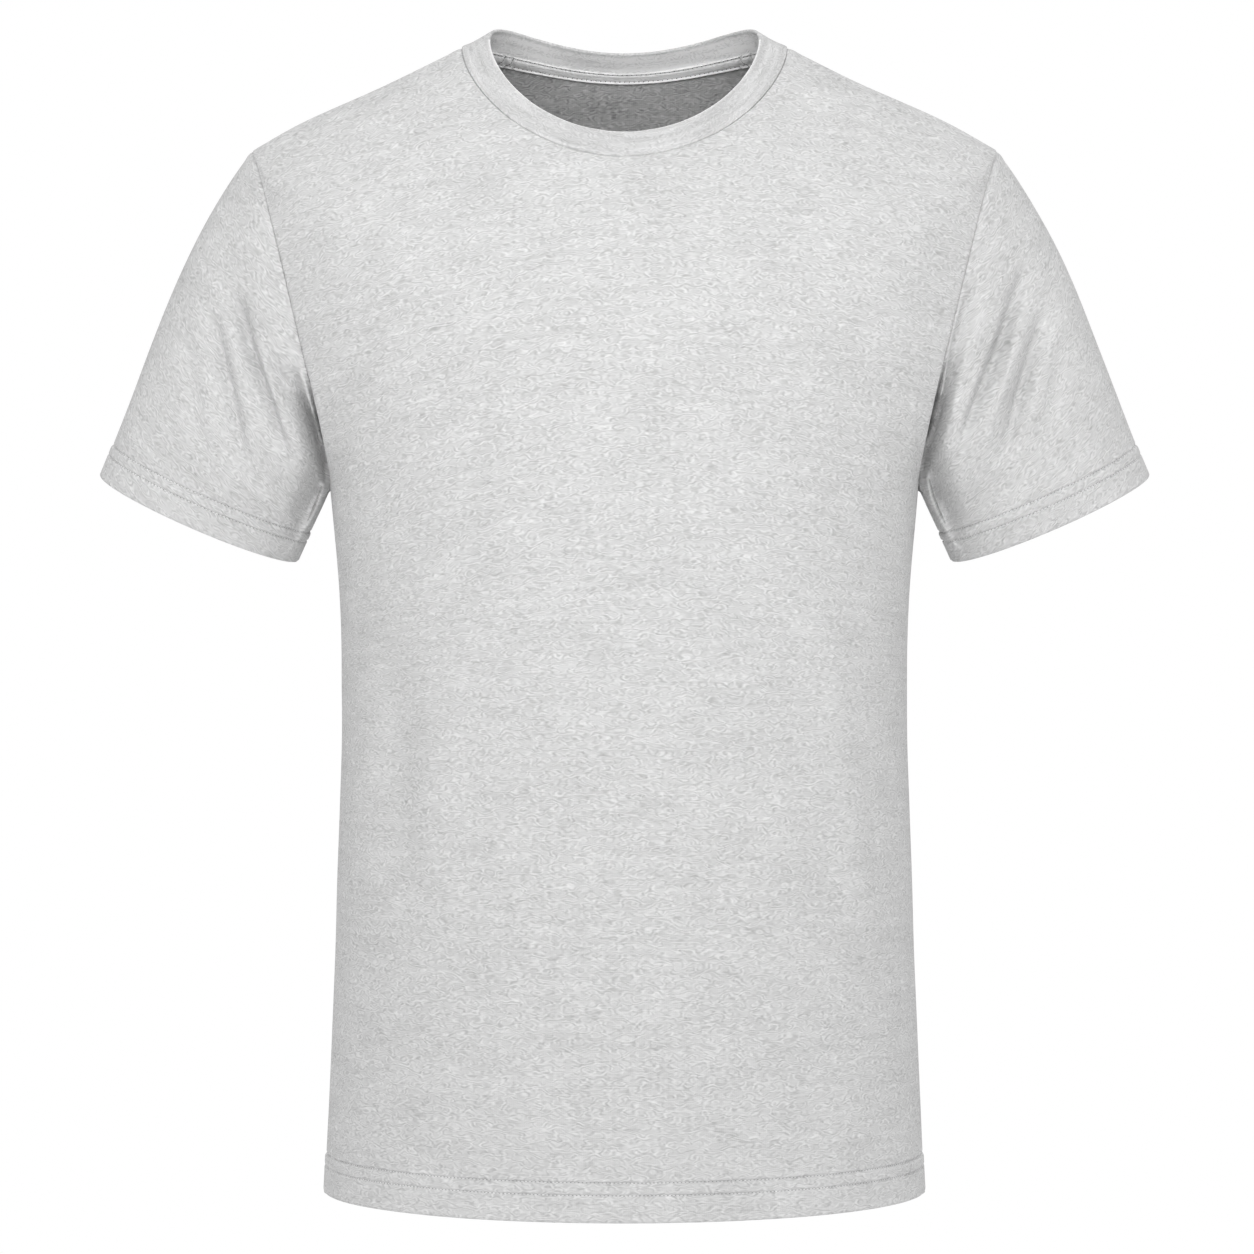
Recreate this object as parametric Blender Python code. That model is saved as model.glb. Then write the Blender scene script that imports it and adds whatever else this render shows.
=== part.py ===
"""Short-sleeved crew-neck T-shirt in the shape it has when worn, hollow and with no wearer.

Six sewn pieces, each one object: the front, the back, two set-in sleeves, the rib neckband
and the tape over the back neck seam. +X is the wearer's left, -Y the front and +Z up. The
origin is midway between the two points where a shoulder seam meets the neckband.

A panel is a stack of levels from hem to neck. At each level the cloth runs from the centre
of the front or back to a seam: the side seam, then the armhole, then the shoulder seam. A
place on a panel is its share of the way across (-1 to 1) and its station, which is the
distance up the front centre from the hem. A sleeve runs from its armhole to its cuff.
"""

import math
from collections import namedtuple

import bmesh
import bpy
import numpy as np

CM = 0.01
MM = 0.001

# Cloth and seams
CLOTH = 1.2 * MM  # jersey wall
SEAM_GAP = 0.3 * MM  # between two pieces at a seam, and between stacked pieces
BODY_HEM = 2.4 * CM  # turned up inside, around the bottom
SLEEVE_HEM = 2.2 * CM
HEM_STEP = 1.0 * MM  # height over which a turned-up edge ends

# The front and back centres at each level, in centimetres. Squareness 2 makes a level an
# ellipse. The falls are the powers with which its height runs from the seam to a centre.
Centre = namedtuple("Centre", "y_front z_front y_back z_back squareness front_fall back_fall")
CENTRES = {
    "hem": Centre(-13.8, -70.2, 12.7, -70.2, 2.0, 2.0, 2.0),
    "low_hip": Centre(-13.9, -66.0, 12.8, -66.0, 2.0, 2.0, 2.0),
    "hip": Centre(-14.0, -60.0, 12.7, -60.0, 2.05, 2.0, 2.0),
    "low_waist": Centre(-14.0, -51.0, 12.2, -51.0, 2.1, 2.0, 2.0),
    "waist": Centre(-13.9, -42.0, 11.9, -42.0, 2.1, 2.0, 2.0),
    "ribs": Centre(-13.6, -34.0, 12.1, -34.0, 2.1, 2.0, 2.0),
    "underarm": Centre(-13.3, -27.6, 12.4, -27.3, 2.1, 2.0, 2.0),
    "chest": Centre(-12.9, -22.0, 12.3, -21.0, 2.1, 1.9, 2.0),
    "across_chest": Centre(-12.3, -18.0, 11.7, -16.2, 2.05, 1.7, 2.0),
    "shoulder_tip": Centre(-11.4, -14.2, 10.5, -11.2, 2.0, 1.5, 2.0),
    "outer_shoulder": Centre(-10.7, -12.2, 9.4, -8.0, 2.0, 1.4, 2.2),
    "mid_shoulder": Centre(-9.7, -10.2, 7.9, -4.6, 2.0, 1.3, 2.6),
    "neck": Centre(-8.4, -7.7, 6.6, -0.9, 2.0, 1.25, 4.5),
}

# The side seam and the shoulder seam on the wearer's left, in centimetres.
Seam = namedtuple("Seam", "half_width y z")
SIDE_SEAM = {
    "hem": Seam(18.4, 0.0, -70.2),
    "low_hip": Seam(18.2, 0.0, -66.0),
    "hip": Seam(17.93, 0.0, -60.0),
    "low_waist": Seam(17.6, 0.0, -51.0),
    "waist": Seam(17.35, 0.0, -42.0),
    "ribs": Seam(17.43, 0.0, -34.0),
    "underarm": Seam(18.05, 0.0, -26.8),
}
SHOULDER_SEAM = {
    "shoulder_tip": Seam(22.9, 0.3, -6.35),
    "outer_shoulder": Seam(19.8, 0.3, -4.6),
    "mid_shoulder": Seam(15.0, 0.2, -2.45),
    "neck": Seam(10.0, 0.0, 0.0),
}

# The armhole bows from the line between underarm and shoulder tip, forwards and back.
FRONT_BOW = np.array((-0.7, -5.9, -0.9)) * CM
BACK_BOW = np.array((-0.4, 5.5, -0.6)) * CM
ARMHOLE_BEND = math.radians(45)  # how far a level turns from centre to seam at the deepest bow

EASE = 1.8 * CM  # step with which a panel is smoothed up and down, away from its seams
EASE_WEIGHTS = {-2: 1 / 16, -1: 4 / 16, 0: 6 / 16, 1: 4 / 16, 2: 1 / 16}

# Neckband: a rib strip folded double. It stands on the neck seam and leans inwards.
BAND_TOP = Centre(-7.0, -6.1, 5.3, 0.42, 2.0, 1.2, 3.0)
BAND_TOP_SIDE = Seam(8.26, 0.0, 0.45)
BAND_RISE = 1.2 * CM  # its fold stands higher between the sides and the back centre
BAND_CLOTH = 2.4 * MM
BAND_PROUD = 0.6 * MM  # its outer face, beyond the panels
BAND_ROUNDING = math.radians(50)  # how far round the fold its last flat facet ends

# Neck tape: lies inside the back neck seam, almost from shoulder seam to shoulder seam.
TAPE_CLOTH = 1.0 * MM
TAPE_ON_BAND = 4.3 * MM  # its reach above the seam
TAPE_ON_BACK = 3.2 * MM  # the station of its lower edge, below that of the seam
TAPE_RIDGE = 1.1 * MM  # the station where it has come down from the band to the panel

# Sleeve: from the armhole to an oval cuff, square to the sleeve's line.
CUFF_CENTRE = np.array((26.4, 2.0, -28.9)) * CM
CUFF_HALF_WIDTH = 6.6 * CM
CUFF_HALF_DEPTH = 4.9 * CM
SLEEVE_OUT = math.radians(24)  # its line, outwards from straight down
SLEEVE_BACK = math.radians(8)  # and backwards
SHOULDER_CARRY = 0.42  # how far the sleeve head follows the shoulder before it drops
CARRY_FADE = 1.2  # how fast that fades towards the underarm
SLEEVE_CALM = 0.2  # share of the sleeve over which its folds rise from the armhole

# The largest folds, in centimetres: soft ridges, or troughs where the height is negative,
# from one place to another as seen from the front, on the front or back of a piece.
Fold = namedtuple("Fold", "piece side x_from z_from x_to z_to half_width height")
FOLDS = [
    Fold("front", "front", 11.6, -30.0, 14.9, -57.0, 1.6, 0.30),
    Fold("front", "front", 9.0, -34.0, 12.6, -60.0, 1.8, -0.18),
    Fold("front", "front", -14.3, -33.0, -12.9, -55.0, 1.6, -0.30),
    Fold("front", "front", -11.6, -38.0, -10.4, -60.0, 1.6, 0.16),
    Fold("back", "back", 12.4, -31.0, 9.0, -60.0, 1.8, -0.32),
    Fold("back", "back", -13.2, -30.0, -11.0, -56.0, 1.7, 0.30),
    Fold("sleeve_right", "front", -24.4, -13.5, -20.6, -25.5, 1.1, -0.30),
    Fold("sleeve_right", "front", -26.0, -15.0, -23.2, -26.5, 1.2, -0.26),
    Fold("sleeve_right", "back", -24.8, -14.0, -21.0, -25.0, 1.3, -0.32),
    Fold("sleeve_left", "front", 24.9, -13.0, 20.2, -24.5, 1.2, -0.34),
    Fold("sleeve_left", "front", 26.2, -14.5, 23.0, -25.5, 1.2, -0.24),
    Fold("sleeve_left", "back", 25.2, -13.0, 21.4, -26.0, 1.3, -0.30),
]

# Facets
PANEL_COLUMNS = 20
BAND_COLUMNS = 2 * PANEL_COLUMNS  # so that its facets meet those of the panels
ROW_HEIGHT = 3.2 * CM
SHOULDER_ROWS = 5
ARMHOLE_FACETS = 24
SLEEVE_ROWS = 8
SHARP_EDGE = math.radians(50)
PROBE = 0.0002  # step for finding the way a surface faces


def unit(vector):
    return vector / np.linalg.norm(vector)


def front_stations():
    """The station of each level: its distance up the front centre, in metres."""
    line = np.array([(centre.y_front, centre.z_front) for centre in CENTRES.values()]) * CM
    steps = np.linalg.norm(np.diff(line, axis=0), axis=1)
    return dict(zip(CENTRES, np.concatenate(([0.0], np.cumsum(steps)))))


STATION = front_stations()


def smooth_curve(table):
    """A smooth curve through a table of levels, as a function of the station."""
    knots = np.array([STATION[name] for name in table])
    rows = np.array(list(table.values()))
    rates = np.gradient(rows, knots, axis=0)
    kind = type(next(iter(table.values())))

    def curve(station):
        low = int(np.clip(np.searchsorted(knots, station) - 1, 0, len(knots) - 2))
        span = knots[low + 1] - knots[low]
        t = (station - knots[low]) / span
        start, end = rows[low], rows[low + 1]
        value = (1 + 2 * t) * (1 - t) ** 2 * start + t * t * (3 - 2 * t) * end
        value += t * (1 - t) * span * ((1 - t) * rates[low] - t * rates[low + 1])
        return kind(*value)

    return curve


centre_at = smooth_curve(CENTRES)
side_seam_at = smooth_curve(SIDE_SEAM)
shoulder_seam_at = smooth_curve(SHOULDER_SEAM)
UNDERARM = np.array(SIDE_SEAM["underarm"]) * CM
SHOULDER_TIP = np.array(SHOULDER_SEAM["shoulder_tip"]) * CM


def armhole(turn):
    """A point of the left armhole: 0 is the shoulder tip, 90 degrees in front, 180 below."""
    bow = FRONT_BOW if math.sin(turn) > 0 else BACK_BOW
    middle = (SHOULDER_TIP + UNDERARM) / 2
    return middle + (SHOULDER_TIP - UNDERARM) / 2 * math.cos(turn) + bow * abs(math.sin(turn))


def armhole_turn(station):
    """How far round the armhole, from the shoulder tip down, a station lies."""
    low, high = STATION["underarm"], STATION["shoulder_tip"]
    return math.pi * float(np.clip((high - station) / (high - low), 0, 1))


def level_point(centre, edge, bend, front, across):
    """A point of one level, whose left seam is at edge.

    The level is the part of an oval quarter that turns through the angle bend: all of it at
    90 degrees, where front and back meet in one smooth curve.
    """
    turned = bend * abs(across)
    y_centre, z_centre, fall = (
        (centre.y_front, centre.z_front, centre.front_fall)
        if front
        else (centre.y_back, centre.z_back, centre.back_fall)
    )
    power = 2 / centre.squareness

    def inwards(exponent):
        at_edge = max(0.0, math.cos(bend)) ** exponent
        return (max(0.0, math.cos(turned)) ** exponent - at_edge) / (1 - at_edge)

    x, y, z = edge
    return np.array(
        (
            math.copysign(x * (math.sin(turned) / math.sin(bend)) ** power, across),
            y + (y_centre * CM - y) * inwards(power),
            z + (z_centre * CM - z) * inwards(power * fall),
        )
    )


def unsmoothed_point(front, across, station):
    bend = math.pi / 2
    if station <= STATION["underarm"]:
        edge = np.array(side_seam_at(station)) * CM
    elif station >= STATION["shoulder_tip"]:
        edge = np.array(shoulder_seam_at(station)) * CM
    else:
        turn = armhole_turn(station)
        edge = armhole(turn if front else -turn)
        bend += (ARMHOLE_BEND - bend) * math.sin(turn) ** 2
    return level_point(centre_at(station), edge, bend, front, across)


def panel_point(front, across, station):
    """A point of the front or back panel. Across runs from the wearer's right to left.

    Away from its seams the cloth is smoothed up and down, so that the corners of the
    armhole don't crease it.
    """
    to_end = max(0.0, min(station, STATION["neck"] - station)) / 2
    step = min(EASE * (1 - across**6), to_end)
    if step == 0:
        return unsmoothed_point(front, across, station)
    return sum(
        weight * unsmoothed_point(front, across, station + place * step)
        for place, weight in EASE_WEIGHTS.items()
    )


def band_point(front, across, height):
    """A point of the band's middle surface, from its seam (0) to its fold (1)."""
    foot = panel_point(front, across, STATION["neck"])
    fold = level_point(BAND_TOP, np.array(BAND_TOP_SIDE) * CM, math.pi / 2, front, across)
    if not front:
        towards_back = max(0.0, math.cos(math.pi / 2 * across))
        fold[2] += BAND_RISE * (1 - (1 - towards_back) ** 4 - towards_back**3)
    return (1 - height) * foot + height * fold


def facing(surface, front, across, along):
    """The outward direction of a surface that is given for the front and the back."""
    across = float(np.clip(across, 2 * PROBE - 1, 1 - 2 * PROBE))
    change_across = surface(front, across + PROBE, along) - surface(front, across - PROBE, along)
    change_along = surface(front, across, along + PROBE) - surface(front, across, along - PROBE)
    return unit(np.cross(change_across, change_along)) * (1 if front else -1)


def edge_facing(surface, across, along):
    """The direction that front and back share where they meet."""
    return unit(facing(surface, True, across, along) + facing(surface, False, across, along))


def neck_facing(front, across):
    """The direction that the panels and the neckband share at their seam."""
    total = np.zeros(3)
    for surface, along in ((panel_point, STATION["neck"]), (band_point, 0.0)):
        if abs(across) == 1:
            total += edge_facing(surface, across, along)
        else:
            total += facing(surface, front, across, along)
    return unit(total)


SHOULDER_LINE = unit(SHOULDER_TIP - np.array(SHOULDER_SEAM["outer_shoulder"]) * CM)
SLEEVE_LINE = np.array(
    (
        math.sin(SLEEVE_OUT) * math.cos(SLEEVE_BACK),
        math.sin(SLEEVE_BACK),
        -math.cos(SLEEVE_OUT) * math.cos(SLEEVE_BACK),
    )
)
CUFF_ACROSS = np.array((math.cos(SLEEVE_OUT), 0.0, math.sin(SLEEVE_OUT)))
CUFF_AHEAD = np.cross(SLEEVE_LINE, CUFF_ACROSS)


def cuff_point(turn):
    across = CUFF_HALF_WIDTH * math.cos(turn) * CUFF_ACROSS
    return CUFF_CENTRE + across + CUFF_HALF_DEPTH * math.sin(turn) * CUFF_AHEAD


def sleeve_point(turn, along):
    """A point of the left sleeve, from the armhole (0) to the cuff (1)."""
    start, end = armhole(turn), cuff_point(turn)
    carry = SHOULDER_CARRY * ((1 + math.cos(turn)) / 2) ** CARRY_FADE
    leaving = unit(carry * SHOULDER_LINE + (1 - carry) * SLEEVE_LINE)
    length = np.linalg.norm(end - start)
    there, back = along, 1 - along
    point = (1 + 2 * there) * back**2 * start + there**2 * (1 + 2 * back) * end
    return point + there * back * length * (back * leaving - there * SLEEVE_LINE)


def sleeve_facing(turn, along):
    change_turn = sleeve_point(turn + PROBE, along) - sleeve_point(turn - PROBE, along)
    change_along = sleeve_point(turn, along + PROBE) - sleeve_point(turn, along - PROBE)
    return unit(np.cross(change_turn, change_along))


def armhole_facing(turn):
    """The direction that the panels and the left sleeve share at their seam."""
    low, high = STATION["underarm"], STATION["shoulder_tip"]
    station = high - (high - low) * abs(turn) / math.pi
    if turn in (0, math.pi, -math.pi):
        panels = edge_facing(panel_point, 1, station)
    else:
        panels = facing(panel_point, turn > 0, 1, station)
    return unit(panels + sleeve_facing(turn, 0.0))


def fold_height(piece, point):
    """How far the folds of a piece lift a point off its plain form."""
    side = "front" if point[1] < 0 else "back"
    total = 0.0
    for fold in FOLDS:
        if (fold.piece, fold.side) != (piece, side):
            continue
        start = np.array((fold.x_from, fold.z_from)) * CM
        run = np.array((fold.x_to, fold.z_to)) * CM - start
        length = np.linalg.norm(run)
        offset = point[[0, 2]] - start
        along = offset @ run / length**2
        if not 0 < along < 1:
            continue
        aside = (offset[0] * run[1] - offset[1] * run[0]) / length
        profile = math.exp(-((aside / (fold.half_width * CM)) ** 2))
        total += fold.height * CM * math.sin(math.pi * along) * profile
    return total


def pull_back(points, ways, ring):
    """Moves a line of points half a seam gap to its left, seen from outside the cloth."""
    moved = []
    for index, (point, way) in enumerate(zip(points, ways)):
        after, before = index + 1, index - 1
        if not ring:
            after, before = min(after, len(points) - 1), max(before, 0)
        tangent = points[after % len(points)] - points[before]
        moved.append(point + unit(np.cross(way, tangent)) * SEAM_GAP / 2)
    return moved


def add_piece(name, outer, inner, wraps, material):
    """A sheet of cloth between two grids of points. One that wraps is a tube."""
    mesh = bmesh.new()
    faces = [[[mesh.verts.new(point) for point in row] for row in grid] for grid in (outer, inner)]
    rows, columns = len(outer), len(outer[0])
    beside = {column: (column + 1) % columns for column in range(columns if wraps else columns - 1)}
    for column, neighbour in beside.items():
        for grid in faces:
            for low, high in zip(grid, grid[1:]):
                mesh.faces.new((low[column], low[neighbour], high[neighbour], high[column]))
        for row in (0, rows - 1):
            out, back = faces[0][row], faces[1][row]
            mesh.faces.new((out[column], out[neighbour], back[neighbour], back[column]))
    for column in () if wraps else (0, columns - 1):
        for row in range(rows - 1):
            out, back = [[grid[row][column], grid[row + 1][column]] for grid in faces]
            mesh.faces.new((*out, *reversed(back)))
    bmesh.ops.recalc_face_normals(mesh, faces=mesh.faces)
    bmesh.ops.triangulate(mesh, faces=mesh.faces)
    data = bpy.data.meshes.new(name)
    mesh.to_mesh(data)
    mesh.free()
    data.shade_smooth()
    data.set_sharp_from_angle(angle=SHARP_EDGE)
    data.materials.append(material)
    piece = bpy.data.objects.new(name, data)
    bpy.context.scene.collection.objects.link(piece)
    return piece


def fabric(name, grey, roughness):
    material = bpy.data.materials.new(name)
    material.use_nodes = True
    shader = material.node_tree.nodes["Principled BSDF"]
    shader.inputs["Base Color"].default_value = (grey, grey, grey * 1.01, 1.0)
    shader.inputs["Roughness"].default_value = roughness
    shader.inputs["Metallic"].default_value = 0.0
    material.diffuse_color = (grey, grey, grey, 1.0)
    return material


def panel_rows():
    """The rows of a panel, from the hem up: their stations and the cloth's thickness."""
    hem_end = BODY_HEM + HEM_STEP
    underarm, tip, neck = (STATION[name] for name in ("underarm", "shoulder_tip", "neck"))
    rows = [(0.0, 2 * CLOTH), (BODY_HEM, 2 * CLOTH), (hem_end, CLOTH)]
    below = round((underarm - hem_end) / ROW_HEIGHT)
    beside = ARMHOLE_FACETS // 2
    spans = (
        (hem_end, underarm, below),
        (underarm, tip, beside),
        (tip, neck - TAPE_ON_BACK, SHOULDER_ROWS),
        (neck - TAPE_ON_BACK, neck, 1),
    )
    for low, high, count in spans:
        rows += [(station, CLOTH) for station in np.linspace(low, high, count + 1)[1:]]
    return rows


def panel(name, material):
    """The front or the back, from hem to neck, with half of each armhole at its sides."""
    front = name == "front"
    underarm, tip = STATION["underarm"], STATION["shoulder_tip"]
    # Columns run to the right as seen from outside the panel.
    shares = np.linspace(-1, 1, PANEL_COLUMNS + 1) * (1 if front else -1)
    points, ways = [], []
    for station, _ in panel_rows():
        points.append([panel_point(front, across, station) for across in shares])
        row = []
        for across in shares:
            if station == STATION["neck"]:
                way = neck_facing(front, across)
            elif abs(across) < 1:
                way = facing(panel_point, front, across, station)
            elif underarm <= station <= tip:
                turn = armhole_turn(station) * (1 if front else -1)
                way = armhole_facing(turn) * (across, 1, 1)
            else:
                way = edge_facing(panel_point, across, station)
            row.append(way)
        ways.append(row)
    for row, row_ways in zip(points, ways):
        for column, across in enumerate(shares):
            calm = 1 - across**4
            row[column] = row[column] + row_ways[column] * fold_height(name, row[column]) * calm
    trim(points, ways)
    inner = [
        [point - way * cloth for point, way in zip(row, row_ways)]
        for row, row_ways, (_, cloth) in zip(points, ways, panel_rows())
    ]
    return add_piece(name, points, inner, False, material)


def trim(points, ways):
    """Pulls a panel's right, top and left edges back from their seams."""
    rows, columns = len(points), len(points[0])
    edge = [(row, columns - 1) for row in range(rows)]
    edge += [(rows - 1, column) for column in reversed(range(columns - 1))]
    edge += [(row, 0) for row in reversed(range(rows - 1))]
    line = [points[row][column] for row, column in edge]
    moved = pull_back(line, [ways[row][column] for row, column in edge], False)
    for (row, column), point in zip(edge, moved):
        points[row][column] = point


def sleeve(name, material):
    """A sleeve, from its armhole to its cuff, with the hem turned up inside."""
    mirror = np.array((1 if name == "sleeve_left" else -1, 1, 1))
    length = np.linalg.norm(cuff_point(math.pi / 2) - armhole(math.pi / 2))
    hem_end = 1 - (SLEEVE_HEM + HEM_STEP) / length
    rows = [(along, CLOTH) for along in np.linspace(0, hem_end, SLEEVE_ROWS)]
    rows += [(1 - SLEEVE_HEM / length, 2 * CLOTH), (1.0, 2 * CLOTH)]
    half = ARMHOLE_FACETS // 2
    turns = [math.pi * facet / half for facet in range(1 - half, half + 1)]
    outer, inner = [], []
    for along, cloth in rows:
        points = [sleeve_point(turn, along) for turn in turns]
        ways = [sleeve_facing(turn, along) if along else armhole_facing(turn) for turn in turns]
        if along == 0:
            points = pull_back(points, ways, True)
        points = [point * mirror for point in points]
        ways = [way * mirror for way in ways]
        rise = min(1, along / SLEEVE_CALM)
        points = [p + w * fold_height(name, p) * rise for p, w in zip(points, ways)]
        outer.append(points)
        inner.append([point - way * cloth for point, way in zip(points, ways)])
    return add_piece(name, outer, inner, True, material)


def round_the_neck(columns):
    """Front or back, and the share across, for points all round the neck."""
    places = []
    for column in range(columns):
        quarter = 4 * column / columns
        if quarter <= 1:
            places.append((True, quarter))
        elif quarter < 3:
            places.append((False, 2 - quarter))
        else:
            places.append((True, quarter - 4))
    return places


def neckband(material):
    """The folded rib strip, its fold half round."""
    height = np.linalg.norm(band_point(True, 1, 1) - band_point(True, 1, 0))
    radius = BAND_CLOTH / 2
    middle = BAND_PROUD - radius
    fold_start = 1 - radius / height
    rows = [(SEAM_GAP / 2 / height, radius), (0.5, radius), (fold_start, radius)]
    rows.append(
        (fold_start + radius * math.sin(BAND_ROUNDING) / height, radius * math.cos(BAND_ROUNDING))
    )
    outer, inner = [], []
    for row, (up, half) in enumerate(rows):
        points, ways = [], []
        for front, across in round_the_neck(BAND_COLUMNS):
            points.append(band_point(front, across, up))
            if row == 0:
                ways.append(neck_facing(front, across))
            elif abs(across) == 1:
                ways.append(edge_facing(band_point, across, up))
            else:
                ways.append(facing(band_point, front, across, up))
        outer.append([point + way * (middle + half) for point, way in zip(points, ways)])
        inner.append([point + way * (middle - half) for point, way in zip(points, ways)])
    return add_piece("neckband", outer, inner, True, material)


def neck_tape(material):
    """The tape inside the back neck, half on the band and half on the back panel."""
    height = np.linalg.norm(band_point(False, 0, 1) - band_point(False, 0, 0))
    on_band = BAND_CLOTH - BAND_PROUD + SEAM_GAP
    on_back = CLOTH + SEAM_GAP
    rows = [(-TAPE_ON_BACK, on_back), (-TAPE_RIDGE, on_back), (0.0, on_band), (TAPE_ON_BAND, on_band)]
    shares = np.linspace(-1, 1, PANEL_COLUMNS + 1)[1:-1]
    outer, inner = [], []
    for up, depth in rows:
        if up < 0:
            surface, along = panel_point, STATION["neck"] + up
        else:
            surface, along = band_point, up / height
        points = [surface(False, across, along) for across in shares]
        if up in (-TAPE_ON_BACK, TAPE_ON_BAND):
            ways = [facing(surface, False, across, along) for across in shares]
        else:
            ways = [neck_facing(False, across) for across in shares]
        outer.append([point - way * depth for point, way in zip(points, ways)])
        inner.append([point - way * (depth + TAPE_CLOTH) for point, way in zip(points, ways)])
    return add_piece("neck_tape", outer, inner, False, material)


def main():
    for thing in list(bpy.data.objects):
        bpy.data.objects.remove(thing, do_unlink=True)
    jersey = fabric("heather_jersey", 0.69, 0.9)
    rib = fabric("heather_rib", 0.69, 0.92)
    tape = fabric("neck_tape_cloth", 0.66, 0.9)
    shirt = bpy.data.objects.new("shirt", None)
    bpy.context.scene.collection.objects.link(shirt)
    pieces = [panel("front", jersey), panel("back", jersey)]
    pieces += [sleeve("sleeve_left", jersey), sleeve("sleeve_right", jersey)]
    pieces += [neckband(rib), neck_tape(tape)]
    for piece in pieces:
        piece.parent = shirt


main()
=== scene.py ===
"""The looks of the T-shirt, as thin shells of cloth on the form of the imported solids.

+X is the wearer's left, -Y the front, +Z up, and the origin is midway between the neck ends
of the shoulder seams. A place on the front or back is its share of the way across (-1 to 1)
and its station, the distance up the front centre from the hem. A sleeve's place is the turn
round it (0 at the shoulder, 90 degrees in front) and how far along it lies (0 to 1).
"""

import math
from collections import namedtuple
from functools import partial, reduce

import bpy
import numpy as np
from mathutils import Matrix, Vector


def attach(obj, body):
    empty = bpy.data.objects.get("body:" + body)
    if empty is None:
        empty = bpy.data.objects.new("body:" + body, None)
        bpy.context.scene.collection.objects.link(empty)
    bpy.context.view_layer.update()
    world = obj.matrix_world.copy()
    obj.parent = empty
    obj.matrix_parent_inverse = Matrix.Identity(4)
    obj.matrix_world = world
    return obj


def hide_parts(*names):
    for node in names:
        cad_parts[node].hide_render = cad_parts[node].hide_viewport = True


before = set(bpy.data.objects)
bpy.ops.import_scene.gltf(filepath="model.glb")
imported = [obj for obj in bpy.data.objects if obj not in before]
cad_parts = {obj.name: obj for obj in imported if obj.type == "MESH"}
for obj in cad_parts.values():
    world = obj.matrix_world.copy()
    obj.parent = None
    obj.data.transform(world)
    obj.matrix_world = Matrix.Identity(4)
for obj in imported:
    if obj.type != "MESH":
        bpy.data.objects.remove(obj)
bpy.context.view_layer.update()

CM = 0.01
MM = 0.001
QUARTER = math.pi / 2

# ---------------- the form of the solids

CLOTH = 1.2 * MM
SEAM_GAP = 0.3 * MM

Centre = namedtuple("Centre", "y_front z_front y_back z_back squareness front_fall back_fall")
CENTRES = {
    "hem": Centre(-13.8, -70.2, 12.7, -70.2, 2.0, 2.0, 2.0),
    "low_hip": Centre(-13.9, -66.0, 12.8, -66.0, 2.0, 2.0, 2.0),
    "hip": Centre(-14.0, -60.0, 12.7, -60.0, 2.05, 2.0, 2.0),
    "low_waist": Centre(-14.0, -51.0, 12.2, -51.0, 2.1, 2.0, 2.0),
    "waist": Centre(-13.9, -42.0, 11.9, -42.0, 2.1, 2.0, 2.0),
    "ribs": Centre(-13.6, -34.0, 12.1, -34.0, 2.1, 2.0, 2.0),
    "underarm": Centre(-13.3, -27.6, 12.4, -27.3, 2.1, 2.0, 2.0),
    "chest": Centre(-12.9, -22.0, 12.3, -21.0, 2.1, 1.9, 2.0),
    "across_chest": Centre(-12.3, -18.0, 11.7, -16.2, 2.05, 1.7, 2.0),
    "shoulder_tip": Centre(-11.4, -14.2, 10.5, -11.2, 2.0, 1.5, 2.0),
    "outer_shoulder": Centre(-10.7, -12.2, 9.4, -8.0, 2.0, 1.4, 2.2),
    "mid_shoulder": Centre(-9.7, -10.2, 7.9, -4.6, 2.0, 1.3, 2.6),
    "neck": Centre(-8.4, -7.7, 6.6, -0.9, 2.0, 1.25, 4.5),
}
Seam = namedtuple("Seam", "half_width y z")
SIDE_SEAM = {
    "hem": Seam(18.4, 0.0, -70.2),
    "low_hip": Seam(18.2, 0.0, -66.0),
    "hip": Seam(17.93, 0.0, -60.0),
    "low_waist": Seam(17.6, 0.0, -51.0),
    "waist": Seam(17.35, 0.0, -42.0),
    "ribs": Seam(17.43, 0.0, -34.0),
    "underarm": Seam(18.05, 0.0, -26.8),
}
SHOULDER_SEAM = {
    "shoulder_tip": Seam(22.9, 0.3, -6.35),
    "outer_shoulder": Seam(19.8, 0.3, -4.6),
    "mid_shoulder": Seam(15.0, 0.2, -2.45),
    "neck": Seam(10.0, 0.0, 0.0),
}
FRONT_BOW = np.array((-0.7, -5.9, -0.9)) * CM
BACK_BOW = np.array((-0.4, 5.5, -0.6)) * CM
ARMHOLE_BEND = math.radians(45)
EASE = 1.8 * CM
EASE_POWER = 6
EASE_WEIGHTS = {-2: 1 / 16, -1: 4 / 16, 0: 6 / 16, 1: 4 / 16, 2: 1 / 16}

BAND_TOP = Centre(-7.0, -6.1, 5.3, 0.42, 2.0, 1.2, 3.0)
BAND_TOP_SIDE = Seam(8.26, 0.0, 0.45)
BAND_RISE = 1.2 * CM  # how far the back of the fold rises over an oval, and its powers
RISE_FROM_SIDE, RISE_TO_BACK = 4, 3
BAND_CLOTH = 2.4 * MM
BAND_PROUD = 0.6 * MM

CUFF_CENTRE = np.array((26.4, 2.0, -28.9)) * CM
CUFF_HALF_WIDTH = 6.6 * CM
CUFF_HALF_DEPTH = 4.9 * CM
SLEEVE_OUT = math.radians(24)
SLEEVE_BACK = math.radians(8)
SHOULDER_CARRY = 0.42
CARRY_FADE = 1.2
SLEEVE_CALM = 0.2

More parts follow.
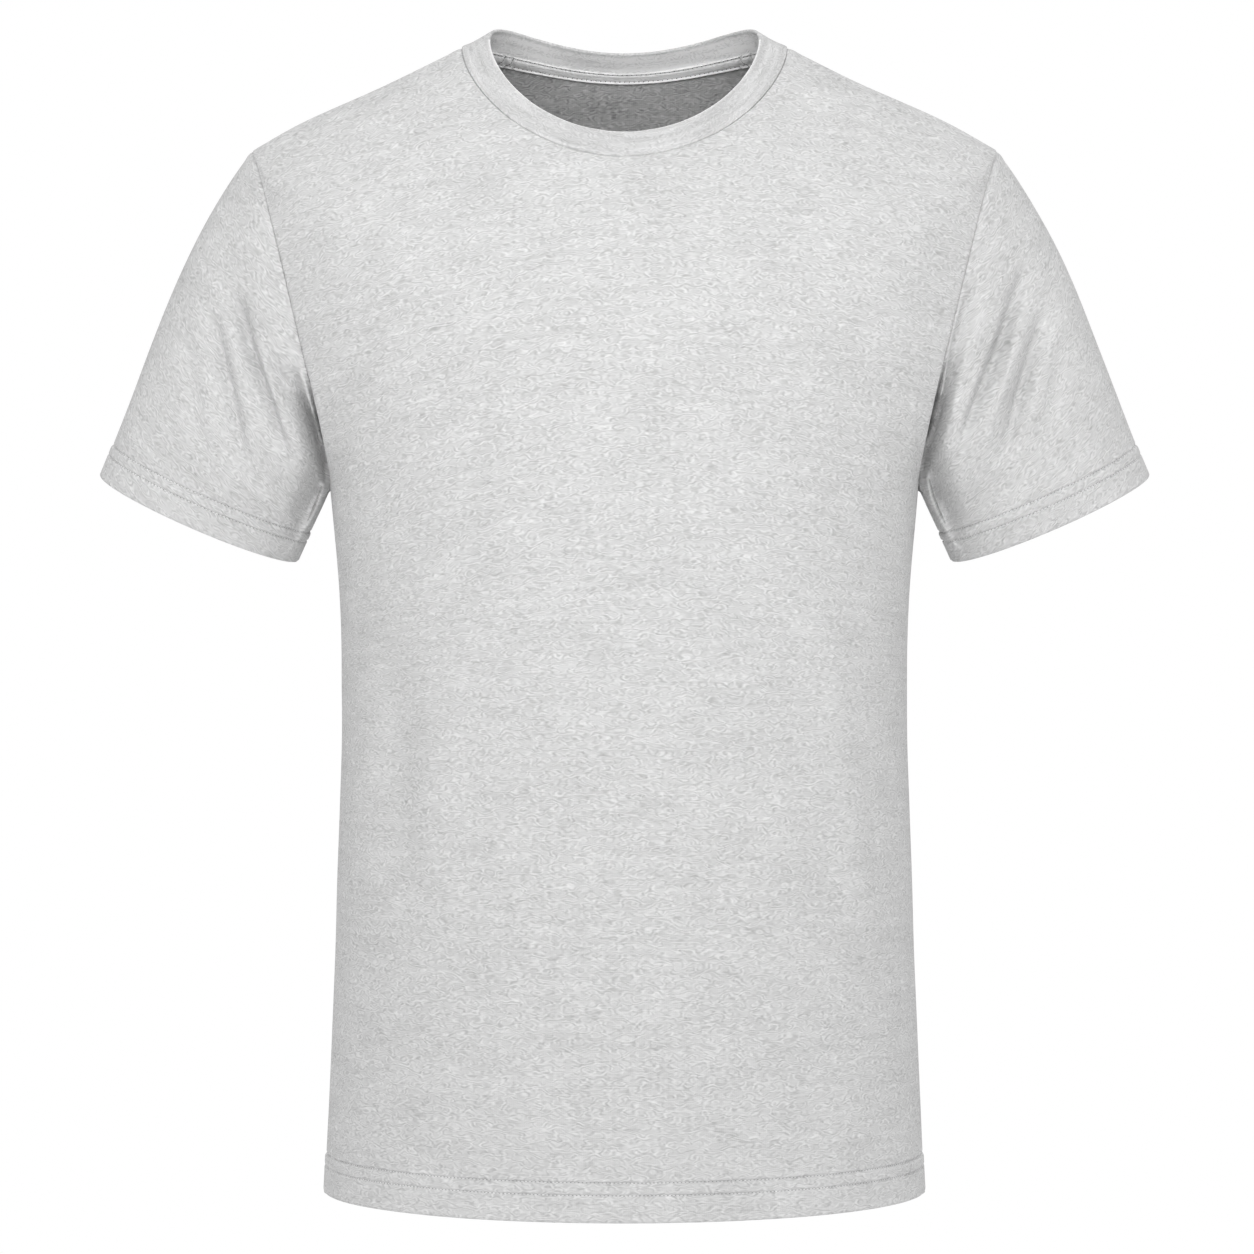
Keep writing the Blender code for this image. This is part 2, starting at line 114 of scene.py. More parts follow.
# Soft ridges, or troughs where the height is negative, in centimetres: from one place to
# another as seen from the front, by piece and by whether they are on its front or its back.
Fold = namedtuple("Fold", "x_from z_from x_to z_to half_width height")
FOLDS = {
    ("front", "front"): (
        Fold(11.6, -30.0, 14.9, -57.0, 1.6, 0.30),
        Fold(9.0, -34.0, 12.6, -60.0, 1.8, -0.18),
        Fold(-14.3, -33.0, -12.9, -55.0, 1.6, -0.30),
        Fold(-11.6, -38.0, -10.4, -60.0, 1.6, 0.16),
    ),
    ("back", "back"): (
        Fold(12.4, -31.0, 9.0, -60.0, 1.8, -0.32),
        Fold(-13.2, -30.0, -11.0, -56.0, 1.7, 0.30),
    ),
    ("sleeve_right", "front"): (
        Fold(-24.4, -13.5, -20.6, -25.5, 1.1, -0.30),
        Fold(-26.0, -15.0, -23.2, -26.5, 1.2, -0.26),
    ),
    ("sleeve_right", "back"): (Fold(-24.8, -14.0, -21.0, -25.0, 1.3, -0.32),),
    ("sleeve_left", "front"): (
        Fold(24.9, -13.0, 20.2, -24.5, 1.2, -0.34),
        Fold(26.2, -14.5, 23.0, -25.5, 1.2, -0.24),
    ),
    ("sleeve_left", "back"): (Fold(25.2, -13.0, 21.4, -26.0, 1.3, -0.30),),
}
SIDE_BLEND = 2.5 * CM  # depth over which a fold of the front or back ends towards the side
FOLD_POWER = 4  # the panels' folds end towards their seams by this power
PROBE = 0.0002


def unit(vectors):
    return vectors / np.linalg.norm(vectors, axis=-1, keepdims=True)


def front_stations():
    """The station of each level: its distance up the front centre, in metres."""
    line = np.array([(centre.y_front, centre.z_front) for centre in CENTRES.values()]) * CM
    steps = np.linalg.norm(np.diff(line, axis=0), axis=1)
    return dict(zip(CENTRES, np.concatenate(([0.0], np.cumsum(steps)))))


STATION = front_stations()
UNDERARM_AT, TIP_AT, NECK_AT = (STATION[name] for name in ("underarm", "shoulder_tip", "neck"))


def smooth_curve(table):
    """A smooth curve through a table of levels: its columns, for an array of stations."""
    knots = np.array([STATION[name] for name in table])
    rows = np.array(list(table.values()), dtype=float)
    rates = np.gradient(rows, knots, axis=0)

    def curve(station):
        low = np.clip(np.searchsorted(knots, station) - 1, 0, len(knots) - 2)
        span = (knots[low + 1] - knots[low])[..., None]
        t = (station - knots[low])[..., None] / span
        value = (1 + 2 * t) * (1 - t) ** 2 * rows[low] + t * t * (3 - 2 * t) * rows[low + 1]
        return value + t * (1 - t) * span * ((1 - t) * rates[low] - t * rates[low + 1])

    return curve


centre_at = smooth_curve(CENTRES)
side_seam_at = smooth_curve(SIDE_SEAM)
shoulder_seam_at = smooth_curve(SHOULDER_SEAM)
UNDERARM = np.array(SIDE_SEAM["underarm"]) * CM
SHOULDER_TIP = np.array(SHOULDER_SEAM["shoulder_tip"]) * CM


def armhole(turn):
    """Points of the left armhole: 0 is the shoulder tip, 90 degrees in front, 180 below."""
    turn = np.asarray(turn, dtype=float)[..., None]
    bow = np.where(np.sin(turn) > 0, FRONT_BOW, BACK_BOW)
    middle = (SHOULDER_TIP + UNDERARM) / 2
    return middle + (SHOULDER_TIP - UNDERARM) / 2 * np.cos(turn) + bow * abs(np.sin(turn))


def armhole_turn(station):
    """How far round the armhole, from the shoulder tip down, a station lies."""
    return math.pi * np.clip((TIP_AT - station) / (TIP_AT - UNDERARM_AT), 0, 1)


def level_points(centre, edge, bend, front, across):
    """Points of levels whose left seam is at edge, each a part of an oval quarter."""
    y_front, z_front, y_back, z_back, squareness, front_fall, back_fall = centre
    y_centre, z_centre, fall = (
        (y_front, z_front, front_fall) if front else (y_back, z_back, back_fall)
    )
    turned = bend * abs(across)
    power = 2 / squareness

    def inwards(exponent):
        at_edge = np.maximum(0.0, np.cos(bend)) ** exponent
        return (np.maximum(0.0, np.cos(turned)) ** exponent - at_edge) / (1 - at_edge)

    x, y, z = np.moveaxis(edge, -1, 0)
    return np.stack(
        (
            np.sign(across) * x * (np.sin(turned) / np.sin(bend)) ** power,
            y + (y_centre * CM - y) * inwards(power),
            z + (z_centre * CM - z) * inwards(power * fall),
        ),
        axis=-1,
    )


def unsmoothed_points(front, across, station):
    turn = armhole_turn(station)
    armhole_points = armhole(turn if front else -turn)
    below = (station <= UNDERARM_AT)[..., None]
    above = (station >= TIP_AT)[..., None]
    edge = np.where(below, side_seam_at(station) * CM, armhole_points)
    edge = np.where(above, shoulder_seam_at(station) * CM, edge)
    bend = QUARTER + (ARMHOLE_BEND - QUARTER) * np.sin(turn) ** 2
    return level_points(np.moveaxis(centre_at(station), -1, 0), edge, bend, front, across)


def panel_points(front, across, station):
    """Points of the front or back, smoothed up and down away from the seams."""
    across, station = np.broadcast_arrays(np.asarray(across, float), np.asarray(station, float))
    to_end = np.maximum(0.0, np.minimum(station, NECK_AT - station)) / 2
    step = np.minimum(EASE * (1 - across**EASE_POWER), to_end)
    return sum(
        weight * unsmoothed_points(front, across, station + place * step)
        for place, weight in EASE_WEIGHTS.items()
    )


def band_points(front, across, height):
    """Points of the neckband's middle surface, from its seam (0) to its fold (1)."""
    across, height = np.broadcast_arrays(np.asarray(across, float), np.asarray(height, float))
    foot = panel_points(front, across, NECK_AT)
    edge = np.array(BAND_TOP_SIDE) * CM
    fold = level_points(np.array(BAND_TOP), edge, QUARTER, front, across)
    if not front:
        towards_back = np.maximum(0.0, np.cos(QUARTER * across))
        low = (1 - towards_back) ** RISE_FROM_SIDE + towards_back**RISE_TO_BACK
        fold[..., 2] += BAND_RISE * (1 - low)
    return foot + height[..., None] * (fold - foot)


def facing(surface, front, across, along):
    """The outward directions of a surface that is given for the front and the back."""
    across = np.clip(across, 2 * PROBE - 1, 1 - 2 * PROBE)
    change_across = surface(front, across + PROBE, along) - surface(front, across - PROBE, along)
    change_along = surface(front, across, along + PROBE) - surface(front, across, along - PROBE)
    return unit(np.cross(change_across, change_along)) * (1 if front else -1)


def panel_facing(front, across, station):
    return facing(panel_points, front, across, station)


def band_facing(front, across, height):
    return facing(band_points, front, across, height)


def by_side(at_front, function, *place):
    """function(front, *place), with the front's or the back's values at each place."""
    return np.where(at_front[..., None], function(True, *place), function(False, *place))


SHOULDER_LINE = unit(SHOULDER_TIP - np.array(SHOULDER_SEAM["outer_shoulder"]) * CM)
SLEEVE_LINE = np.array(
    (
        math.sin(SLEEVE_OUT) * math.cos(SLEEVE_BACK),
        math.sin(SLEEVE_BACK),
        -math.cos(SLEEVE_OUT) * math.cos(SLEEVE_BACK),
    )
)
CUFF_ACROSS = np.array((math.cos(SLEEVE_OUT), 0.0, math.sin(SLEEVE_OUT)))
CUFF_AHEAD = np.cross(SLEEVE_LINE, CUFF_ACROSS)


def sleeve_points(turn, along):
    """Points of the left sleeve, from the armhole (0) to the cuff (1)."""
    turn, along = np.broadcast_arrays(np.asarray(turn, float), np.asarray(along, float))
    turn, there = turn[..., None], along[..., None]
    start = armhole(turn[..., 0])
    end = CUFF_CENTRE + CUFF_HALF_WIDTH * np.cos(turn) * CUFF_ACROSS
    end = end + CUFF_HALF_DEPTH * np.sin(turn) * CUFF_AHEAD
    carry = SHOULDER_CARRY * ((1 + np.cos(turn)) / 2) ** CARRY_FADE
    leaving = unit(carry * SHOULDER_LINE + (1 - carry) * SLEEVE_LINE)
    length = np.linalg.norm(end - start, axis=-1, keepdims=True)
    back = 1 - there
    point = (1 + 2 * there) * back**2 * start + there**2 * (1 + 2 * back) * end
    return point + there * back * length * (back * leaving - there * SLEEVE_LINE)


def sleeve_facing(turn, along):
    change_turn = sleeve_points(turn + PROBE, along) - sleeve_points(turn - PROBE, along)
    change_along = sleeve_points(turn, along + PROBE) - sleeve_points(turn, along - PROBE)
    return unit(np.cross(change_turn, change_along))


def bump(distance, width):
    return np.exp(-((distance / width) ** 2))


def fold_heights(folds, piece, points):
    """How far the folds of a piece lift its points off the plain form."""
    total = np.zeros(points.shape[:-1])
    for (owner, side), rows in folds.items():
        if owner != piece:
            continue
        ahead = -points[..., 1] if side == "front" else points[..., 1]
        here = np.clip(ahead / SIDE_BLEND, 0, 1)
        for fold in rows:
            start = np.array((fold.x_from, fold.z_from)) * CM
            run = np.array((fold.x_to, fold.z_to)) * CM - start
            length = np.linalg.norm(run)
            offset = points[..., [0, 2]] - start
            along = np.clip(offset @ run / length**2, 0, 1)
            aside = (offset[..., 0] * run[1] - offset[..., 1] * run[0]) / length
            profile = bump(aside, fold.half_width * CM) * np.sin(math.pi * along)
            total += fold.height * CM * profile * here
    return total


# ---------------- what the shells add

BODY_HEM = 2.4 * CM
BODY_HEM_LINES = (16.0 * MM, 23.3 * MM)  # stitch lines, from the edge
SLEEVE_HEM = 2.2 * CM
SLEEVE_HEM_LINES = (14.5 * MM, 21.0 * MM)
HEM_STEP = 1.0 * MM  # distance over which a hem's second layer ends
HEM_SWELL = 0.7 * MM  # how far a hem stands out between its stitch lines
HEM_SWELL_END = 2 * MM  # distance over which that ends
HEM_ROUND = 0.93  # how far round its fold a hem's last face reaches
LINE_DEPTH = 1.1 * MM  # how far a stitch line pulls the cloth in
LINE_WIDTH = 1.1 * MM
PUCKER = 0.5  # share by which that depth varies
PUCKER_SIZE = 7 * MM
SEAM_DIP = 0.8 * MM  # how far the cloth turns in at a seam
NECK_DIP = 0.45 * MM
SEAM_DIP_WIDTH = 1.2 * MM
SEAM_RIDGE_AT = 4.6 * MM  # the seam allowance under the cloth shows as a low ridge
SEAM_RIDGE_WIDTH = 2.4 * MM
SIDE_RIDGE, NECK_RIDGE, ARMHOLE_RIDGE = 0.2 * MM, 0.3 * MM, 0.4 * MM
UNDERARM_RIDGE, BAND_RIDGE = 0.3 * MM, 0.1 * MM
BLEND = 8 * MM  # width over which a panel's direction turns into the one shared at a seam

# Distances of rows and columns from a seam, from a hem's fold and from its stitch lines.
NEAR_SEAM = np.array((0.15, 0.5, 0.85, 1.25, 1.7, 2.3, 3.1, 4.1, 5.3, 6.7, 8.5, 10.7, 13.4)) * MM
HEM_FOLD = np.array((0.0, 0.15, 0.4, 0.75, 1.2, 2.0)) * MM
AROUND_LINE = np.array((-2.2, -1.5, -0.9, -0.4, 0.0, 0.4, 0.9, 1.5, 2.2)) * MM
HEM_PLAIN, HEM_ROW = 3.5 * MM, 2 * MM  # start and spacing of the plain rows of a hem
BETWEEN_LINES = np.array((-0.7, 0.0, 0.7)) * MM
ABOVE_LINES = np.array((3.4, 5.2, 7.5)) * MM
CELL = 3.3 * MM  # spacing of a panel's other rows and columns
LEAST_ACROSS = 0.3  # least share of a step along a row that counts as across the cloth

NOISE_CELLS = (97, 89)
NOISE_START = (31.7, 17.3)


def hem_rows(lines):
    """Distances from a hem's edge, close together at its fold and at its stitch lines."""
    rows = [HEM_FOLD, np.arange(HEM_PLAIN, lines[0] - 3 * MM, HEM_ROW)]
    rows += [line + AROUND_LINE for line in lines]
    rows += [sum(lines) / 2 + BETWEEN_LINES, lines[1] + ABOVE_LINES]
    return np.unique(np.round(np.concatenate(rows) / MM, 2)) * MM


def arc_lengths(points, axis):
    """Distances along a grid of points, from its first row or column."""
    steps = np.linalg.norm(np.diff(points, axis=axis), axis=-1)
    total = np.cumsum(steps, axis=axis)
    return np.concatenate((np.zeros_like(np.take(total, [0], axis=axis)), total), axis=axis)


def from_ends(points):
    """Distances along the rows of a grid of points, from the nearer end."""
    along = arc_lengths(points, 1)
    return np.minimum(along, along[:, -1:] - along)


def raised(points, ways, height):
    """Points moved by a height each along their own directions."""
    return points + ways * height[..., None]


def soft_noise(u, v, size, seed):
    """Smooth noise from -1 to 1 over the cloth, with lumps of about that size."""
    table = np.random.default_rng(seed).uniform(-1, 1, NOISE_CELLS)
    x, y = u / size + NOISE_START[0], v / size + NOISE_START[1]
    column, row = np.floor(x).astype(int), np.floor(y).astype(int)
    s, t = x - column, y - row
    s, t = s * s * (3 - 2 * s), t * t * (3 - 2 * t)

    def corner(right, up):
        return table[(column + right) % NOISE_CELLS[0], (row + up) % NOISE_CELLS[1]]

    low = corner(0, 0) * (1 - s) + corner(1, 0) * s
    high = corner(0, 1) * (1 - s) + corner(1, 1) * s
    return low * (1 - t) + high * t


def seam_profile(distance, ridge, dip=SEAM_DIP):
    """Height of the cloth beside a seam: it turns in at the seam, over a low ridge."""
    rise = ridge * bump(distance - SEAM_RIDGE_AT, SEAM_RIDGE_WIDTH)
    return rise - dip * bump(distance, SEAM_DIP_WIDTH)


def rounding(distance, width, depth, most=0.99):
    """How far a face turns in at a distance from its round edge, up to most of the way round."""
    inside = np.clip(1 - distance / width, 0, most)
    return depth * (1 - np.sqrt(1 - inside**2))


def hem_profile(distance, lines, pucker):
    """Height of a hem's outer face: round at its fold, pulled in at its stitch lines."""
    swell = HEM_SWELL * np.clip((lines[1] - distance) / HEM_SWELL_END, 0, 1)
    depth = LINE_DEPTH * sum(bump(distance - line, LINE_WIDTH / 2) for line in lines)
    return swell - depth * (1 + PUCKER * pucker) - rounding(distance, CLOTH, CLOTH, HEM_ROUND)


def hem_thickness(distance, hem):
    """Depth of the inner face under the plain form: two layers, and one above the hem."""
    layers = 2 - np.clip((distance - hem) / HEM_STEP, 0, 1)
    return layers * CLOTH - rounding(distance, CLOTH, CLOTH, HEM_ROUND)


def grain_across(points, grain_up, middle):
    """Distance across the cloth from a middle column, square to the grain."""
    steps = np.linalg.norm(np.diff(points, axis=1), axis=-1)
    rises = np.diff(grain_up, axis=1)
    across = np.sqrt(np.maximum(steps**2 - rises**2, (LEAST_ACROSS * steps) ** 2))
    total = np.concatenate((np.zeros((len(points), 1)), np.cumsum(across, axis=1)), axis=1)
    return total - total[:, middle : middle + 1]


def turned_grain(aside, up, angle):
    """The grain of a piece whose courses are turned by an angle."""
    turned_aside = aside * math.cos(angle) - up * math.sin(angle)
    return np.stack((turned_aside, up * math.cos(angle) + aside * math.sin(angle)), axis=-1)


def column_places(points, wraps):
    """Each column's mean distance from the first, and in a tube also the way back to it."""
    places = arc_lengths(points, 1).mean(axis=0)
    if wraps:
        last = np.linalg.norm(points[:, 0] - points[:, -1], axis=-1).mean()
        places = np.append(places, places[-1] + last)
    return places


# Spans on the OFBake map, from 0 to 1, each with its start and length: up the outer face, up
# the inner face and across both. An edge lies between two lines beyond them.
MAP_OUTER, MAP_INNER, MAP_ACROSS = (0.31, 0.68), (0.29, -0.28), (0.01, 0.98)
MAP_EDGE = np.array([[0.992], [0.998]])


def shell(name, outer, inner, grain, wraps, material, inside=None, drawn=0.0):
    """A closed sheet of cloth between two grids of points, with its two UV maps.

    OFBake lays the outer face, the inner face and the edges side by side. The map named
    grain is in metres of cloth. A sheet that wraps is a tube, and grain has a last column
    for its way back to the first. inside is each point's share of the inner face's tone,
    which is painted shade on the jersey and painted light on the rib, and drawn is how far
    the fibres are drawn out along the courses.
    """
    below = outer[..., 0].size
    index = np.arange(below).reshape(outer.shape[:2])
    if wraps:
        index = np.concatenate((index, index[:, :1]), axis=1)
    up = arc_lengths(outer, 0).mean(axis=1)[:, None]
    right = column_places(outer, wraps)[None]
    outer_up, inner_up, right = (
        start + length * (places / whole)
        for (start, length), places, whole in (
            (MAP_OUTER, up, up[-1]),
            (MAP_INNER, up, up[-1]),
            (MAP_ACROSS, right, right[:, -1]),
        )
    )
    faces, bake, metres = [], [], []

    def lay(points, at_right, at_up, cloth, order=(0, 1, 2, 3)):
        """Faces between the neighbours in a grid of points, placed on both maps."""
        places = np.stack(np.broadcast_arrays(at_right, at_up), axis=-1)
        for grid, made in ((points[..., None], faces), (places, bake), (cloth, metres)):
            cells = grid[:-1, :-1], grid[:-1, 1:], grid[1:, 1:], grid[1:, :-1]
            cells = np.stack([cells[corner] for corner in order], axis=2)
            made.append(cells.reshape(-1, 4, grid.shape[-1]))

    def lay_edge(points, at_right, at_up, cloth, order):
        lay(np.stack((points, points + below)), at_right, at_up, np.stack((cloth, cloth)), order)

    lay(index, right, outer_up, grain)
    lay(index + below, right, inner_up, grain, (0, 3, 2, 1))
    onwards, backwards = (0, 1, 2, 3), (1, 0, 3, 2)
    lay_edge(index[0], right, np.stack((outer_up[0], inner_up[0])), grain[0], backwards)
    lay_edge(index[-1], right, MAP_EDGE, grain[-1], onwards)
    if not wraps:
        lay_edge(index[:, 0], 1 - MAP_EDGE, outer_up.T, grain[:, 0], onwards)
        lay_edge(index[:, -1], MAP_EDGE, outer_up.T, grain[:, -1], backwards)

    faces, bake, metres = (np.concatenate(parts) for parts in (faces, bake, metres))
    across, along = outer[1:, 1:] - outer[1:, :-1], outer[1:, :-1] - outer[:-1, :-1]
    if np.sum(np.cross(across, along) * (outer - inner)[1:, :-1]) < 0:
        faces, bake, metres = faces[:, ::-1], bake[:, ::-1], metres[:, ::-1]
    points = np.concatenate((outer.reshape(-1, 3), inner.reshape(-1, 3)))
    # By default the whole inner face takes the inner tone: painted shade on the jersey.
    inside = np.repeat((0.0, 1.0), below) if inside is None else inside
    marks = {"inside": inside, "drawn": np.full(2 * below, drawn)}
    maps = {"OFBake": bake, "grain": metres}
    return mesh_piece(name, points, faces[..., 0], material, maps, marks)


def mesh_piece(name, points, faces, material, maps=None, marks=None):
    """A smooth object from arrays of points and four-sided faces, with its maps and marks."""
    data = bpy.data.meshes.new(name)
    data.vertices.add(len(points))
    data.vertices.foreach_set("co", points.astype(np.float32).ravel())
    data.loops.add(faces.size)
    data.loops.foreach_set("vertex_index", faces.astype(np.int32).ravel())
    data.polygons.add(len(faces))
    data.polygons.foreach_set("loop_start", np.arange(0, faces.size, 4, dtype=np.int32))
    data.update(calc_edges=True)
    for layer, values in (maps or {}).items():
        data.uv_layers.new(name=layer).data.foreach_set("uv", values.astype(np.float32).ravel())
    for layer, values in (marks or {}).items():
        data.attributes.new(layer, "FLOAT", "POINT").data.foreach_set("value", values)
    data.validate()
    data.shade_smooth()
    data.materials.append(material)
    piece = bpy.data.objects.new(name, data)
    bpy.context.scene.collection.objects.link(piece)
    return piece


# ---------------- the pieces of cloth

Sheet = namedtuple("Sheet", "piece outer ways rows")

PANEL_REACH = 0.22  # metres from a panel's centre to its seam, for spacing its columns
SLEEVE_RADIUS = 0.055  # for spacing its columns
SLEEVE_ROWS = 64
SLEEVE_CELL = 2.0 * MM
SLEEVE_PROBES = 161  # points on the lines that measure a sleeve's lengths

# Smaller creases than the solids have, in centimetres.
CREASES = {
    ("front", "front"): (
        Fold(-14.3, -34.5, -12.8, -53.0, 0.9, -0.10),
        Fold(12.3, -31.0, 16.0, -57.0, 0.8, -0.13),
    ),
    ("sleeve_right", "front"): (
        Fold(-23.8, -15.0, -21.9, -21.6, 0.42, -0.95),
        Fold(-22.6, -18.6, -20.2, -25.8, 0.34, -0.85),
        Fold(-22.7, -17.2, -20.0, -25.6, 0.42, 0.45),
        Fold(-25.2, -16.2, -22.9, -26.0, 0.40, -0.80),
        Fold(-27.0, -16.5, -25.5, -25.8, 0.60, -0.36),
        Fold(-21.6, -19.2, -18.8, -24.2, 0.50, -0.90),
        Fold(-20.1, -20.0, -17.9, -28.6, 0.34, -2.90),
        Fold(-17.9, -23.6, -21.3, -33.4, 0.50, -2.20),
    ),
    ("sleeve_right", "back"): (
        Fold(-24.0, -14.6, -20.4, -24.8, 0.50, -0.66),
        Fold(-25.7, -16.4, -23.1, -26.2, 0.55, -0.48),
        Fold(-20.2, -19.8, -18.0, -28.2, 0.40, -2.20),
    ),
    ("sleeve_left", "front"): (
        Fold(17.9, -22.8, 21.3, -33.4, 0.50, -2.20),
        Fold(24.5, -13.6, 22.2, -21.0, 0.42, -1.15),
        Fold(22.9, -18.2, 20.3, -24.8, 0.36, -0.90),
        Fold(24.2, -17.0, 21.2, -26.0, 0.46, 0.45),
        Fold(25.9, -15.6, 22.8, -25.8, 0.46, -1.00),
        Fold(27.0, -17.4, 25.0, -26.4, 0.55, -0.30),
        Fold(21.3, -14.6, 19.2, -21.4, 0.50, -0.80),
        Fold(20.1, -19.0, 18.0, -28.8, 0.24, -2.80),
    ),
    ("sleeve_left", "back"): (
        Fold(24.4, -15.0, 21.0, -25.0, 0.50, -0.62),
        Fold(22.5, -16.8, 19.6, -25.4, 0.50, 0.30),
        Fold(20.1, -19.4, 17.9, -28.4, 0.38, -2.30),
    ),
}
CREASE_CALM = 4 * MM  # distance from the armhole over which they rise
CREASE_SIDES = (0.05, 0.35)  # they end where a sleeve turns away from the front or back
CREASE_MOST = 0.75  # share of the way to the middle of the side that one may reach
CREASE_SLANT = 0.18  # how far a trough slants in towards the body, to its depth

TUCK = 32 * MM  # how deep the armhole is folded in under the arm, in front and behind
TUCK_MOST = 0.75  # share of the way to the middle of the side that it may reach
TUCK_INWARDS = 0.08  # how far the fold slants in under the panel, to its depth
TUCK_STARTS = {"sleeve_left": 0.53, "sleeve_right": 0.58}  # shares of the way down the armhole
TUCK_RAMP = 0.18  # share over which it deepens
TUCK_FLAT = 0.2 * MM  # width of its floor on the panel
TUCK_WALL = 0.9 * MM  # width of its walls, which are steep
TUCK_CLOSES = 0.05  # share above the underarm over which it closes
TUCK_TOP_SLOT = 0.8 * MM  # width of its floor on the sleeve, at its ends
TUCK_SLOTS = {"sleeve_left": 6.2 * MM, "sleeve_right": 3.2 * MM}  # and where it is widest
TUCK_WIDEST = 0.77  # share of the way down the armhole
TUCK_WIDE = 0.17
FOLDED_MOST = 0.82  # share of the way to the middle of the side that a sleeve is folded in
TUCK_SLOPE = 0.16  # share of its depth that is a long slope of the sleeve
TUCK_SLOPE_WIDTH = 13 * MM

EDGE_AT = 20 * MM  # a pressed line runs down the panels beside their side seams
EDGE_WIDTH = 1.6 * MM
EDGE_RIDGE = 0.5 * MM

GRAIN_ARCH = 0.75  # a metre: how strongly the courses arch over the chest
GRAIN_ARCH_ASIDE = 3 * CM  # the top of the arch, towards the wearer's left
GRAIN_ARCH_OVER = (-43 * CM, -32 * CM)  # heights over which it comes in
SLEEVE_GRAIN_TURN = math.radians(18)  # how much steeper the courses of a sleeve run than its hem
PANEL_DRAWN = 0.85  # how far the fibres are drawn out along the courses
SLEEVE_DRAWN = 1.0

UNDULATION = 0.35 * MM
UNDULATION_SIZE = 4.5 * CM


def spaced_to_seams(edge, reach, cell):
    """Places from -edge to edge, closer together towards both ends."""
    near = edge - NEAR_SEAM / reach
    count = round(2 * near[-1] * reach / cell)
    return np.concatenate((-near, np.linspace(-near[-1], near[-1], count)[1:-1], near[::-1]))


def side_facing(front, station):
    """The direction that a panel shares at its left edge with what is sewn to it."""
    own, other = panel_facing(front, 1.0, station), panel_facing(not front, 1.0, station)
    turn = armhole_turn(station)
    sleeve_way = sleeve_facing(turn if front else -turn, 0.0)
    inside = (station > UNDERARM_AT) & (station < TIP_AT)
    corner = np.maximum(bump(station - UNDERARM_AT, CM), bump(station - TIP_AT, CM))
    other_share = np.where(inside, corner, 1.0)[:, None]
    sleeve_share = np.where(inside, 1.0, corner)[:, None]
    return unit(own + other_share * other + sleeve_share * sleeve_way)


def neck_facing(front, across):
    """The direction that the panels and the neckband share at their seam."""
    return unit(panel_facing(front, across, NECK_AT) + band_facing(front, across, 0.0))


def turned(ways, shared, distance):
    """Directions that turn into the shared ones towards a seam."""
    share = bump(distance, BLEND)[..., None]
    return unit(ways * (1 - share) + shared * share)


def panel(name, material, shift):
    """The front or the back."""
    front = name == "front"
    hem = hem_rows(BODY_HEM_LINES)
    top = NECK_AT - NEAR_SEAM[::-1]
    body = np.linspace(hem[-1], top[0], round((top[0] - hem[-1]) / CELL) + 1)[1:-1]
    for corner in (UNDERARM_AT, TIP_AT):
        body[np.argmin(abs(body - corner))] = corner
    stations = np.concatenate((hem, body, top))
    shares = spaced_to_seams(1, PANEL_REACH, CELL) * (1 if front else -1)
    across, station = np.meshgrid(shares, stations)

    plain = panel_points(front, across, station)
    from_side = from_ends(plain)
    up_column = arc_lengths(plain, 0)
    from_neck = up_column[-1] - up_column
    shared = side_facing(front, stations)[:, None]
    shared = np.where(across[..., None] > 0, shared, shared * (-1, 1, 1))
    ways = turned(panel_facing(front, across, station), shared, from_side)
    ways = turned(ways, neck_facing(front, shares)[None], from_neck)

    middle = len(shares) // 2
    centre = plain[:, middle : middle + 1]
    grain_up = arc_lengths(centre, 0) + plain[..., 2] - centre[..., 2]
    low, high = GRAIN_ARCH_OVER
    arch = GRAIN_ARCH * (plain[..., 0] - GRAIN_ARCH_ASIDE) ** 2
    grain_aside = grain_across(plain, grain_up, middle)
    grain_up = grain_up + arch * ease((plain[..., 2] - low) / (high - low))
    grain = np.stack((grain_aside, grain_up), axis=-1) + shift
    u, v = np.moveaxis(grain, -1, 0)
    lift = fold_heights(FOLDS, name, plain) + fold_heights(CREASES, name, plain)
    lift = lift * (1 - across**FOLD_POWER) + UNDULATION * soft_noise(u, v, UNDULATION_SIZE, 5)
    lift += EDGE_RIDGE * bump(from_side - EDGE_AT, EDGE_WIDTH)
    base = raised(plain, ways, lift)
    turn = armhole_turn(station) * (1 if front else -1)
    on_left = (across > 0)[..., None]
    at_left = tuck_on_panel("sleeve_left", turn, from_side)
    at_right = tuck_on_panel("sleeve_right", turn, from_side) * (-1, 1, 1)
    base = base + np.where(on_left, at_left, at_right)

    height = seam_profile(from_side, SIDE_RIDGE) + seam_profile(from_neck, NECK_RIDGE, NECK_DIP)
    height += hem_profile(station, BODY_HEM_LINES, soft_noise(u, v, PUCKER_SIZE, 8))
    outer = raised(base, ways, height)
    inner = raised(base, ways, -hem_thickness(station, BODY_HEM))
    piece = shell(name + "_cloth", outer, inner, grain, False, material, drawn=PANEL_DRAWN)
    return Sheet(piece, outer, ways, stations)


def ease(value):
    value = np.clip(value, 0, 1)
    return value * value * (3 - 2 * value)


def underarm_tuck(name, turn, share):
    """How the cloth beside the left armhole moves, where it is folded in under the arm."""
    most = np.minimum(TUCK, TUCK_MOST * abs(armhole(turn)[..., 1]))
    down = abs(turn) / math.pi
    depth = most * ease((down - TUCK_STARTS[name]) / TUCK_RAMP) * ease((1 - down) / TUCK_CLOSES)
    to_middle = np.where(turn > 0, 1.0, -1.0)
    way = np.stack((np.full(turn.shape, -TUCK_INWARDS), to_middle, np.zeros(turn.shape)), -1)
    return (depth * share)[..., None] * way


def tuck_on_panel(name, turn, distance):
    return underarm_tuck(name, turn, 1 - ease((distance - TUCK_FLAT) / TUCK_WALL))


